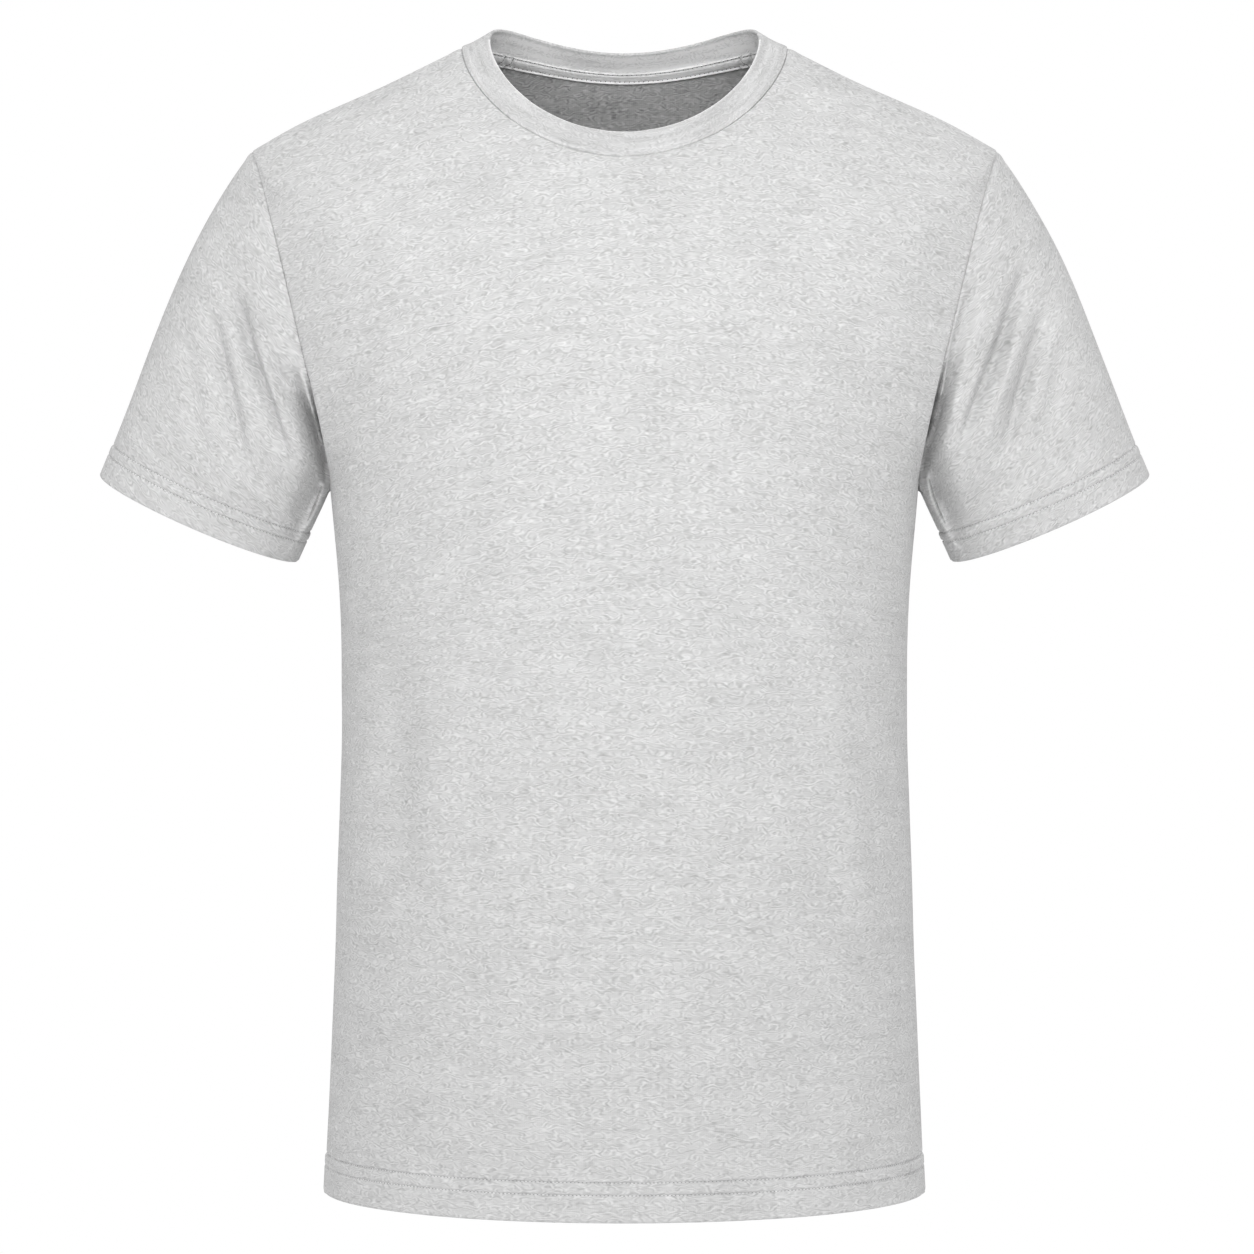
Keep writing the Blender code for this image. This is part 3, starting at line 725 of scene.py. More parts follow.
def tuck_on_sleeve(name, turn, distance):
    widest = bump(abs(turn) / math.pi - TUCK_WIDEST, TUCK_WIDE)
    floor = TUCK_TOP_SLOT + (TUCK_SLOTS[name] - TUCK_TOP_SLOT) * widest
    slot = 1 - ease((distance - floor) / TUCK_WALL)
    slope = bump(distance, TUCK_SLOPE_WIDTH)
    return underarm_tuck(name, turn, (1 - TUCK_SLOPE) * slot + TUCK_SLOPE * slope)


def beside_turn(turn):
    """The station of the panels' edges at a turn round the armhole."""
    return TIP_AT - (TIP_AT - UNDERARM_AT) * abs(turn) / math.pi


def armhole_facing(turn):
    """The direction that the panels and the left sleeve share along the armhole."""
    return by_side(turn > 0, side_facing, beside_turn(turn))


def at_most(moved, plain):
    """Movements of a sleeve's points, kept short of the middle of its side."""
    most = FOLDED_MOST * abs(plain[..., 1])
    limited = np.clip(moved[..., 1], -most, most)
    return np.stack((moved[..., 0], limited, moved[..., 2]), axis=-1)


def sleeve_folds(name, along, distance, plain, ways):
    """How a sleeve's folds and creases move its points."""
    folds = fold_heights(FOLDS, name, plain) * np.minimum(1, along / SLEEVE_CALM)
    low, high = CREASE_SIDES
    ahead = ease((abs(ways[..., 1]) - low) / (high - low)) * np.sign(ways[..., 1])
    creases = fold_heights(CREASES, name, plain) * np.clip(distance / CREASE_CALM, 0, 1)
    creases = np.maximum(creases, -CREASE_MOST * abs(plain[..., 1]))
    slant = CREASE_SLANT * (1 if name == "sleeve_left" else -1)
    way = np.stack((np.full(ahead.shape, slant) * abs(ahead), ahead, 0 * ahead), axis=-1)
    return ways * folds[..., None] + creases[..., None] * way


def sleeve(name, material, shift):
    """A sleeve, from its armhole to its cuff, with its underarm seam."""
    mirror = np.array((1 if name == "sleeve_left" else -1, 1, 1))
    turns = spaced_to_seams(math.pi * SLEEVE_RADIUS, 1.0, SLEEVE_CELL) / SLEEVE_RADIUS
    shares = np.linspace(0, 1, SLEEVE_PROBES)
    lengths = arc_lengths(sleeve_points(turns[None], shares[:, None]), 0)
    whole = lengths[-1]
    hem = hem_rows(SLEEVE_HEM_LINES)
    start, end = NEAR_SEAM[-1], whole - hem[-1]
    middle = np.linspace(0, 1, SLEEVE_ROWS + 1)[1:-1, None]
    distance = np.concatenate(
        (
            np.broadcast_to(NEAR_SEAM[:, None], (len(NEAR_SEAM), len(turns))),
            start + (end - start) * middle,
            whole - hem[::-1, None],
        )
    )
    columns = zip(distance.T, lengths.T)
    along = np.stack([np.interp(wanted, known, shares) for wanted, known in columns], axis=1)
    turn = np.broadcast_to(turns, along.shape)
    plain = sleeve_points(turn, along)

    ways = turned(sleeve_facing(turn, along), armhole_facing(turns)[None], distance)
    plain, ways = plain * mirror, ways * mirror

    from_cuff = whole - distance
    moved = sleeve_folds(name, along, distance, plain, ways)
    moved = moved + tuck_on_sleeve(name, turn, distance) * mirror
    folded = plain + at_most(moved, plain)
    closed = np.concatenate((folded, folded[:, :1]), axis=1)
    grain_up = np.concatenate((from_cuff, from_cuff[:, :1]), axis=1)
    grain_aside = grain_across(closed, grain_up, len(turns) // 2)
    grain = turned_grain(grain_aside, grain_up, SLEEVE_GRAIN_TURN) + shift
    u, v = np.moveaxis(grain[:, :-1], -1, 0)
    lift = UNDULATION * soft_noise(u, v, UNDULATION_SIZE, 6) * np.minimum(1, along / SLEEVE_CALM)
    base = raised(folded, ways, lift)

    height = seam_profile(distance, ARMHOLE_RIDGE)
    height += seam_profile(from_ends(plain), UNDERARM_RIDGE)
    height += hem_profile(from_cuff, SLEEVE_HEM_LINES, soft_noise(u, v, PUCKER_SIZE, 9))
    outer = raised(base, ways, height)
    inner = raised(base, ways, -hem_thickness(from_cuff, SLEEVE_HEM))
    piece = shell(name + "_cloth", outer, inner, grain, True, material, drawn=SLEEVE_DRAWN)
    return Sheet(piece, outer, ways, from_cuff[:, 0])


BAND_HEIGHT = 0.02  # from its seam to its fold
BAND_COLUMNS = 520
BAND_FIRST_ROW, BAND_ROW = 15.2 * MM, 1.6 * MM  # plain rows, above those near the seam
BAND_ROUNDING = np.radians((0, 15, 30, 45, 60, 75, 86))  # rows round the fold
BAND_SMOOTHING = 9  # columns over which the directions are averaged
BAND_PUFF, BAND_LUMPS, BAND_LUMPS_INSIDE = 0.35 * MM, 0.15 * MM, 0.1 * MM
BAND_LUMP_SIZE = 9 * MM
FOLD_HIGHLIGHT_WIDTH = 1.0 * MM  # width of a painted highlight along the front half's fold, in the inner face's pale tone
INNER_LIGHT_BLEND = 3 * MM  # width over which the inner face takes on its tone, painted light on the rib
BAND_JOIN = 1.09  # where the rib strip is closed, in quarters round from the front centre
BAND_QUARTER = 0.15  # metres to a quarter, for spacing columns at the join
BESIDE_JOIN = np.array((0.3, 0.6, 1.0, 1.6, 2.4)) * MM  # columns on each side of it
JOIN_CLEAR = 3 * MM
JOIN_DEPTH, JOIN_WIDTH = 0.45 * MM, 0.7 * MM


def all_round(function, quarters, *place):
    """function(front, across, *place), round the neck from the front centre leftwards."""
    across = np.where(quarters < 3, np.minimum(quarters, 2 - quarters), quarters - 4)
    return by_side((quarters <= 1) | (quarters >= 3), function, across, *place)


def smoothed_ring(values, width):
    """Values on a closed ring of columns, averaged with their neighbours."""
    weights = {step: math.exp(-((2 * step / width) ** 2)) for step in range(-width, width + 1)}
    total = sum(weight * np.roll(values, step, axis=1) for step, weight in weights.items())
    return total / sum(weights.values())


def neckband(material, shift):
    """The folded rib strip, closed behind the wearer's left shoulder."""
    beside = BESIDE_JOIN / BAND_QUARTER
    join = BAND_JOIN + np.concatenate((-beside, [0], beside))
    quarters = np.linspace(0, 4, BAND_COLUMNS, endpoint=False)
    quarters = quarters[abs(quarters - BAND_JOIN) > JOIN_CLEAR / BAND_QUARTER]
    quarters = np.sort(np.concatenate((quarters, join)))
    radius = BAND_CLOTH / 2
    straight = np.arange(BAND_FIRST_ROW, BAND_HEIGHT - radius, BAND_ROW)
    round_fold = BAND_HEIGHT - radius + radius * np.sin(BAND_ROUNDING)
    up = np.concatenate((NEAR_SEAM, straight, round_fold))
    half = np.full(len(up), radius)
    half[-len(BAND_ROUNDING) :] = radius * np.cos(BAND_ROUNDING)

    quarter, height = np.meshgrid(quarters, up / BAND_HEIGHT)
    middle = all_round(band_points, quarter, height)
    ways = all_round(band_facing, quarter, height)
    ways = turned(ways, all_round(neck_facing, quarters[None]), up[:, None])
    ways = unit(smoothed_ring(ways, BAND_SMOOTHING))

    around = column_places(middle, True)
    grain = np.stack(np.broadcast_arrays(around[None], up[:, None]), axis=-1) + shift
    u, v = np.moveaxis(grain[:, :-1], -1, 0)
    place = np.interp(BAND_JOIN, quarters, around[:-1])
    groove = JOIN_DEPTH * bump(abs(around[:-1] - place)[None], JOIN_WIDTH)
    up, half = up[:, None], half[:, None]
    puff = BAND_PUFF * np.sin(math.pi * np.minimum(1, up / BAND_HEIGHT))
    puff = puff + BAND_LUMPS * soft_noise(u, v, BAND_LUMP_SIZE, 12)
    out = BAND_PROUD + (half - radius) + seam_profile(up, BAND_RIDGE, NECK_DIP) + puff
    back = BAND_PROUD - radius - half + groove
    back = back - BAND_LUMPS_INSIDE * soft_noise(u, v, BAND_LUMP_SIZE, 13)
    outer, inner = raised(middle, ways, out - groove), raised(middle, ways, back)
    from_fold = BAND_HEIGHT - up + 0 * quarter
    # The front half's fold gets a painted highlight: the rib's pale inner tone on its outer
    # face.
    fold_highlight = bump(from_fold, FOLD_HIGHLIGHT_WIDTH) * (abs(quarter - 2) > 1)
    # Away from the fold the inner face takes the rib's pale inner tone: painted light.
    reverse_light_and_shade = np.clip(from_fold / INNER_LIGHT_BLEND, 0, 1)
    tones = np.concatenate((fold_highlight.ravel(), reverse_light_and_shade.ravel()))
    piece = shell("neckband_cloth", outer, inner, grain, True, material, tones)
    return Sheet(piece, outer, ways, up[:, 0])


TAPE_CLOTH = 1.0 * MM
TAPE_ON_BAND = 4.3 * MM
TAPE_ON_BACK = 3.2 * MM
TAPE_ROWS = (-3.2, -3.05, -2.8, -2.5, -2.1, -1.7, -1.3, -0.8, 0.0, 0.8, 1.6, 2.2, 2.7, 3.2)
TAPE_ROWS = np.array((*TAPE_ROWS, 3.6, 3.95, 4.2, 4.3)) * MM
TAPE_END = 0.9  # share across at which the tape ends
TAPE_REACH = 0.08  # metres from its middle to there, for spacing the columns at its ends
TAPE_ENDS = np.array((0.0, 0.2, 0.5, 0.9, 1.3, 1.8, 2.4, 3.1)) * MM  # columns, from an end
TAPE_COLUMNS = 420
TAPE_TURN = 2.2 * MM  # it turns from the back to the neckband this far on each side
TAPE_STEP = 1.1 * MM  # width over which it climbs over the edge of the neckband
TAPE_EDGE, TAPE_EDGE_DEPTH = 0.6 * MM, 0.4 * MM  # its round edges
TAPE_LINES = (-2.1 * MM, 3.2 * MM)  # its stitch lines, from the neck seam
TAPE_BARS = (-7.6 * CM, -7.1 * CM, 7.35 * CM, 8.0 * CM)  # its cross lines, from the middle
TAPE_GROOVE = 0.8 * MM
TAPE_LINE_WIDTH, TAPE_BAR_WIDTH = 0.45 * MM, 0.9 * MM
TAPE_PUFF, TAPE_LUMPS, TAPE_LUMP_SIZE = 0.25 * MM, 0.1 * MM, 6 * MM


def neck_tape(material, shift):
    """The tape inside the back neck, stitched along both edges."""
    on_band = BAND_CLOTH - BAND_PROUD + SEAM_GAP
    on_back = CLOTH + SEAM_GAP
    ends = TAPE_END - TAPE_ENDS / TAPE_REACH
    between = np.linspace(ends[-1], -ends[-1], TAPE_COLUMNS)[1:-1]
    shares = np.concatenate((ends, between, -ends[::-1]))
    across, up = np.meshgrid(shares, TAPE_ROWS)
    height = np.linalg.norm(band_points(False, 0.0, 1.0) - band_points(False, 0.0, 0.0))
    on_panel = panel_points(False, across, NECK_AT + np.minimum(up, 0))
    above = band_points(False, across, np.maximum(up, 0) / height)
    points = np.where((up < 0)[..., None], on_panel, above)
    panel_way = panel_facing(False, shares, NECK_AT - TAPE_ON_BACK)
    band_way = band_facing(False, shares, TAPE_ON_BAND / height)
    share = np.clip((up + TAPE_TURN) / (2 * TAPE_TURN), 0, 1)[..., None]
    ways = unit(panel_way[None] * (1 - share) + band_way[None] * share)

    under = on_back + (on_band - on_back) * np.clip((up + TAPE_STEP) / TAPE_STEP, 0, 1)
    depth = sum(bump(up - line, TAPE_LINE_WIDTH) for line in TAPE_LINES)
    depth = depth + sum(bump(points[..., 0] - bar, TAPE_BAR_WIDTH) for bar in TAPE_BARS)
    depth = np.minimum(1, depth)
    edge = np.minimum(np.minimum(up - TAPE_ROWS[0], TAPE_ROWS[-1] - up), from_ends(points))
    turned_in = rounding(edge, TAPE_EDGE, TAPE_EDGE_DEPTH)
    grain = np.stack((arc_lengths(points, 1), up), axis=-1) + shift
    u, v = np.moveaxis(grain, -1, 0)
    puff = TAPE_PUFF * (1 - depth) + TAPE_LUMPS * soft_noise(u, v, TAPE_LUMP_SIZE, 15)
    face = under + TAPE_CLOTH - TAPE_GROOVE * depth - turned_in + puff
    seen, hidden = raised(points, -ways, face), raised(points, -ways, under + turned_in)
    piece = shell("neck_tape_cloth", hidden, seen, grain, False, material)
    return Sheet(piece, seen, -ways, TAPE_ROWS)


# ---------------- seam allowances and stitches

ALLOWANCE_ROWS = np.array((-1.4, -1.2, -0.8, 0.0, 1.0, 2.2, 3.5, 4.8, 5.7, 6.2, 6.5)) * MM
ALLOWANCE_CLOTH = 1.3 * MM
ALLOWANCE_GAP = 0.15 * MM  # between them and the cloth
ALLOWANCE_EDGE, ALLOWANCE_EDGE_DEPTH = 0.8 * MM, 0.5 * MM  # their round edges
ALLOWANCE_LUMPS, ALLOWANCE_LUMP_SIZE = 0.12 * MM, 5 * MM
ALLOWANCE_TUCK = 1.12  # they lie this much deeper than the fold under the arm
BEHIND_BAND = 0.6 * MM  # how far in from the neckband's middle they start


def allowance(name, place, count, material, shift):
    """The two edges of a seam, overlocked together and lying against the cloth inside.

    place(share, offset) gives points and directions at a share along the seam, and at an
    offset from it towards the side to which the edges are pressed.
    """
    share, offset = np.meshgrid(np.linspace(0, 1, count), ALLOWANCE_ROWS)
    points, ways = place(share, offset)
    ways = unit(np.mean(ways, axis=0, keepdims=True) + ways)
    edge = np.minimum(offset - ALLOWANCE_ROWS[0], ALLOWANCE_ROWS[-1] - offset)
    turned_in = rounding(edge, ALLOWANCE_EDGE, ALLOWANCE_EDGE_DEPTH)
    along = arc_lengths(points, 1)
    grain = np.stack((along, offset), axis=-1) + shift
    waves = ALLOWANCE_LUMPS * soft_noise(along, offset, ALLOWANCE_LUMP_SIZE, 21)
    hidden = raised(points, -ways, CLOTH + ALLOWANCE_GAP + turned_in)
    seen = raised(points, -ways, CLOTH + ALLOWANCE_CLOTH - turned_in + waves)
    return shell(name, hidden, seen, grain, False, material)


def on_body(at_front, across, station):
    """Points and directions of the front, or of the back, at each place."""
    return [by_side(at_front, of, across, station) for of in (panel_points, panel_facing)]


def on_panels(side, low, high):
    """Places along the seam between front and back, pressed to the back."""

    def place(share, offset):
        station = low + (high - low) * share
        points, ways = on_body(offset < 0, 1 - abs(offset) / PANEL_REACH, station)
        return points * (side, 1, 1), ways * (side, 1, 1)

    return place


def on_armhole(side):
    """Places round an armhole, pressed to the sleeve."""

    def place(share, offset):
        name = "sleeve_left" if side > 0 else "sleeve_right"
        mirror = np.array((side, 1, 1))
        turn = math.pi * (1 - 2 * share)
        length = np.linalg.norm(sleeve_points(turn, 1.0) - sleeve_points(turn, 0.0), axis=-1)
        along = np.maximum(offset, 0) / length
        inwards = (offset < 0)[..., None]
        across = 1 - abs(offset) / PANEL_REACH
        at_panel, panel_way = on_body(turn > 0, across, beside_turn(turn))
        ways = np.where(inwards, panel_way, sleeve_facing(turn, along)) * mirror
        points = np.where(inwards, at_panel, sleeve_points(turn, along)) * mirror
        lift_way = turned(ways, armhole_facing(turn[0]) * mirror, abs(offset))
        moved = sleeve_folds(name, along, np.maximum(offset, 0), points, lift_way)
        tuck = underarm_tuck(name, turn, ALLOWANCE_TUCK) * mirror
        moved = moved * (offset > 0)[..., None] + tuck
        return points + at_most(moved, points), ways

    return place


def below_front_neck(share, offset):
    """Places along the front neckline, pressed down on to the front."""
    on_band = True, 1 - 2 * share, np.maximum(-offset, 0) / BAND_HEIGHT
    on_front = True, 1 - 2 * share, NECK_AT - np.maximum(offset, 0)
    upwards = (offset < 0)[..., None]
    points = np.where(upwards, band_points(*on_band), panel_points(*on_front))
    ways = np.where(upwards, band_facing(*on_band), panel_facing(*on_front))
    return points - ways * (BEHIND_BAND * upwards), ways


STITCH = 2.3 * MM
TAPE_STITCH = 3.0 * MM
BAR_STITCH = 1.6 * MM
THREAD = 0.46 * MM
# HOLE and TAPE_HOLE size the dark beads that paint the shade of the needle holes.
HOLE, TAPE_HOLE = 0.5 * MM, 0.9 * MM
HOLE_RISE = 0.02 * MM
STITCH_SHARE, BAR_SHARE, HOLE_SHARE = 0.62, 0.85, 0.26  # parts of the pitch
STITCH_RISE, BAR_RISE = 0.3 * THREAD, 0.2 * THREAD
STITCH_RINGS = np.array((-1.0, -0.6, 0.6, 1.0))  # places along a bead, from its middle
STITCH_WIDTHS = np.array((0.35, 1.0, 1.0, 0.35))
STITCH_SIDES = 6
STITCH_FLAT = 0.8  # a bead's height, as a share of its width
STITCH_TURN, STITCH_STRETCH = 0.06, 0.12  # how much the beads differ
PATH_STEP = 0.2 * MM
CAPS = np.array(((0, 1, 2, 3), (0, 3, 4, 5)))  # the two faces that close a bead's first end


def stitches(name, path, ways, pitch, share, thick, rise, phase, material):
    """A row of stitches along a path on the cloth, each one a short bead of thread.

    share is a bead's part of the pitch, rise how high its middle lies over the cloth, and
    phase where the first one lies, as a part of the pitch.
    """
    lengths = arc_lengths(path, 0)
    count = int(lengths[-1] / pitch)
    places = (np.arange(count) + phase) * lengths[-1] / count

    def at(distance, values):
        return np.stack([np.interp(distance, lengths, values[:, axis]) for axis in range(3)], 1)

    centres, up = at(places, path), unit(at(places, ways))
    ahead = unit(at(places + PATH_STEP, path) - at(places - PATH_STEP, path))
    aside = np.cross(up, ahead)
    jitter = np.random.default_rng(len(path) + count).uniform(-1, 1, (count, 2))
    ahead = unit(ahead + STITCH_TURN * jitter[:, :1] * aside)
    length = 0.5 * pitch * share * (1 + STITCH_STRETCH * jitter[:, 1])
    turn = np.arange(STITCH_SIDES) / STITCH_SIDES * 2 * math.pi
    rings = STITCH_WIDTHS[:, None] * np.stack((np.cos(turn), np.sin(turn)))[:, None] * thick / 2
    points = (
        centres[:, None, None]
        + (length[:, None] * STITCH_RINGS)[:, :, None, None] * ahead[:, None, None]
        + rings[0][None, :, :, None] * aside[:, None, None]
        + (STITCH_FLAT * rings[1][None, :, :, None] + rise) * up[:, None, None]
    )
    ring = np.arange(STITCH_SIDES)
    after = np.roll(ring, -1)
    span = np.stack((ring, ring + STITCH_SIDES, after + STITCH_SIDES, after), 1)
    last = (len(STITCH_RINGS) - 1) * STITCH_SIDES
    spans = [span + first for first in range(0, last, STITCH_SIDES)]
    one = np.concatenate((*spans, CAPS, last + CAPS[:, ::-1]))
    faces = one[None] + (np.arange(count) * (last + STITCH_SIDES))[:, None, None]
    return mesh_piece(name, points.reshape(-1, 3), faces.reshape(-1, 4), material)


def stitch_line(name, path, ways, pitch, hole, sewing, hole_shade):
    """A row of stitches, with dark beads between them that paint the shade of the needle holes.
    """
    return [
        stitches(name, path, ways, pitch, STITCH_SHARE, THREAD, STITCH_RISE, 0.5, sewing),
        stitches(name + "_holes", path, ways, pitch, HOLE_SHARE, hole, HOLE_RISE, 0.0, hole_shade),
    ]


# ---------------- materials


class Graph:
    """Short names for making and joining the nodes of a material or of the world."""

    def __init__(self, owner):
        owner.use_nodes = True
        self.tree = owner.node_tree

    def put(self, value, socket):
        if isinstance(value, bpy.types.NodeSocket):
            self.tree.links.new(value, socket)
        else:
            socket.default_value = value

    def fill(self, node, sockets):
        """Set or join the sockets of a node, by their names."""
        for name, value in sockets.items():
            self.put(value, node.inputs[name])

    def node(self, kind, *values, output=0, **settings):
        made = self.tree.nodes.new("ShaderNode" + kind)
        for key, value in settings.items():
            setattr(made, key, value)
        for value, socket in zip(values, [s for s in made.inputs if s.enabled]):
            self.put(value, socket)
        return made.outputs[output]

    def math(self, operation, *values, clamp=False):
        return self.node("Math", *values, operation=operation, use_clamp=clamp)

    def vector(self, operation, *values):
        return self.node("VectorMath", *values, operation=operation)

    def mark(self, name):
        """A number that the points carry."""
        return self.node("Attribute", attribute_name=name, output=2)

    def noise(self, place, across, up, detail=1.0):
        """Noise with that many lumps a metre, across and up the cloth."""
        made = self.node("TexNoise", noise_dimensions="2D").node
        scaled = self.vector("MULTIPLY", place, (across, up, 1.0))
        self.fill(made, {"Vector": scaled, "Scale": 1.0, "Detail": detail})
        return made.outputs[0]

    def weighted(self, terms):
        """The sum of (value, weight, middle) terms, each about its middle."""
        parts = [
            self.math("MULTIPLY_ADD", value, weight, -weight * middle)
            for value, weight, middle in terms
        ]
        return reduce(lambda total, part: self.math("ADD", total, part), parts)


DRAWN_ACROSS, DRAWN_UP = -0.3, 0.2  # change of the fibres' scale where they are fully drawn

# Two layers of fibres: noise lumps a metre across and up, lines to a lump, rows a metre.
FIBRES = ((135.0, 190.0, 4.6, 230.0), (190.0, 260.0, 3.6, -260.0))
FIBRE_TONES = (0.135, 0.125)
FIBRE_RELIEF = 0.18
CURLS = (-6.0, 1.8)  # the fibres show where the noise is near its middle: slope and start
RUNS = (3.2, -0.9)  # and only in runs: slope and start on a second noise
RUN_SIZE = (0.9, 1.4)  # lumps of that noise to one of the first
FLECKS, BANDS, PATCHES = (130.0, 560.0), (22.0, 210.0), (28.0, 42.0)  # lumps a metre
FLECK_FROM, FLECK_SLOPE = 0.60, 7.0
FLECK_TONE, FLECK_MEAN, PATCH_TONE = -0.10, 0.06, 0.14
WALE_RELIEF, LOOP_RELIEF = 0.36, 0.12
LOOP_SLANT = 1.1  # how far the courses rise and fall over a wale


def heather(name, base, reverse_light_and_shade, knit, curl=1.0, streak=0.16, relief=0.22, boost=0.6):
    """Light heather cloth: pale and dark fibres in short curling runs, on a fine knit.

    reverse_light_and_shade is the tone of the inner face: painted shade where it is darker than
    base, and painted light where it is paler. knit is the wale and course pitch in metres, curl
    the strength of the fibres, streak that of the long bands across the cloth, relief the height
    of the knit in millimetres, and boost how much stronger they all are on the inner face.
    """
    material = bpy.data.materials.new(name)
    graph = Graph(material)
    multiply, multiply_add = partial(graph.math, "MULTIPLY"), partial(graph.math, "MULTIPLY_ADD")
    place = graph.node("UVMap", uv_map="grain")  # in metres of cloth
    drawn = graph.mark("drawn")
    scales = [multiply_add(drawn, change, 1.0) for change in (DRAWN_ACROSS, DRAWN_UP)]
    drawn_place = graph.vector("MULTIPLY", place, graph.node("CombineXYZ", *scales, 1.0))

    def moved(x, y, of=place):
        """The place moved, so that each noise is another one."""
        return graph.vector("ADD", of, (x, y, 0.0))

    fibres = []
    up_cloth = graph.node("SeparateXYZ", drawn_place, output=1)
    for number, (across, up, lines, rows) in enumerate(FIBRES):
        swirl = graph.noise(moved(1.7 * number, 0.9, drawn_place), across, up, detail=0.6)
        phase = multiply_add(up_cloth, rows, multiply(swirl, lines))
        waves = graph.math("COSINE", multiply(phase, 2 * math.pi))
        away = graph.math("ABSOLUTE", graph.math("SUBTRACT", swirl, 0.5))
        waves = multiply(waves, multiply_add(away, *CURLS, clamp=True))
        size = RUN_SIZE[0] * across, RUN_SIZE[1] * up
        runs = multiply_add(graph.noise(moved(0.3, 2.1 + number), *size), *RUNS, clamp=True)
        fibres.append(multiply(waves, runs))
    flecks = graph.noise(moved(0.4, 2.3), *FLECKS, detail=2.0)
    flecks = multiply(graph.math("SUBTRACT", flecks, FLECK_FROM), FLECK_SLOPE, clamp=True)
    bands = graph.noise(moved(3.1, 0.2), *BANDS, detail=2.0)
    patches = graph.noise(place, *PATCHES, detail=2.0)
    tones = [(fibre, share * curl, 0.0) for fibre, share in zip(fibres, FIBRE_TONES)]
    tones += [(flecks, FLECK_TONE, FLECK_MEAN), (bands, streak, 0.5), (patches, PATCH_TONE, 0.5)]
    inside = graph.mark("inside")
    tone = multiply(graph.weighted(tones), multiply_add(inside, boost, 1.0))
    tone = graph.math("ADD", tone, 1.0)
    # The inner face's tone is painted shade on the jersey and painted light on the rib.
    tone = multiply(tone, multiply_add(inside, reverse_light_and_shade - base, base))

    aside = graph.node("SeparateXYZ", place)
    wale = graph.math("PINGPONG", graph.math("DIVIDE", aside, knit[0]), 0.5)
    course = multiply_add(aside.node.outputs[1], 1 / knit[1], multiply(wale, LOOP_SLANT))
    loops = graph.math("SINE", multiply(course, 2 * math.pi))
    height = [(fibre, FIBRE_RELIEF, 0.0) for fibre in fibres]
    height = graph.weighted([*height, (wale, WALE_RELIEF, 0.0), (loops, LOOP_RELIEF, 0.0)])
    lumps = graph.node("Bump").node
    graph.fill(lumps, {"Strength": 1.0, "Distance": relief * MM, "Height": height})
    sockets = {
        "Base Color": graph.node("CombineColor", tone, tone, tone),
        "Normal": lumps.outputs[0],
        "Roughness": 0.92,
        "Specular IOR Level": 0.25,
        "Sheen Weight": 0.04,
        "Sheen Roughness": 0.5,
    }
    graph.fill(graph.tree.nodes["Principled BSDF"], sockets)
    return material


def thread(name, base):
    """Sewing thread, whose tone varies by a tenth to each side."""
    material = bpy.data.materials.new(name)
    graph = Graph(material)
    twist = graph.node("TexNoise").node
    graph.fill(twist, {"Vector": graph.node("TexCoord", output=3), "Scale": 900.0})
    tone = graph.math("MULTIPLY_ADD", twist.outputs[0], 0.2 * base, 0.9 * base)
    colour = graph.node("CombineColor", tone, tone, tone)
    sockets = {"Base Color": colour, "Roughness": 0.7, "Sheen Weight": 0.2}
    graph.fill(graph.tree.nodes["Principled BSDF"], sockets)
    return material


# ---------------- floor, light and camera

CAMERA_DISTANCE = 2.35  # metres in front of the shoulder seams
CAMERA_HEIGHT = -0.3567
CAMERA_ASIDE = 0.0015
FRAME_WIDTH = 0.7712  # metres across the picture at the shoulder seams
SENSOR = 36.0  # millimetres
FLOOR = -1.45  # the shoulders of someone standing are about this far up
FLOOR_HALF = 3.2

# Brightness of the surroundings, from straight down (-1) to straight up (1).
SKY = ((-0.6, 0.46), (-0.1, 0.66), (0.3, 0.66), (0.7, 0.88))
BEHIND = (0.90, 0.965)  # the way to the white wall behind, as a share of straight back


def backdrop():
    material = bpy.data.materials.new("pale_floor")
    graph = Graph(material)
    sockets = {"Base Color": (0.9, 0.9, 0.9, 1), "Roughness": 0.8}
    graph.fill(graph.tree.nodes["Principled BSDF"], sockets)
    corners = ((-1, -1, 0), (1, -1, 0), (1, 1, 0), (-1, 1, 0))
    corners = np.array(corners) * FLOOR_HALF + (0, 0, FLOOR)
    mesh_piece("floor", corners, np.array([[0, 1, 2, 3]]), material)


def soft_box(name, place, aim, size, power, spread=math.pi):
    data = bpy.data.lights.new(name, "AREA")
    data.shape = "RECTANGLE"
    data.size, data.size_y = size
    data.energy = power
    data.spread = spread
    light = bpy.data.objects.new(name, data)
    light.location = place
    way = Vector(aim) - Vector(place)
    light.rotation_euler = way.to_track_quat("-Z", "Y").to_euler()
    bpy.context.scene.collection.objects.link(light)


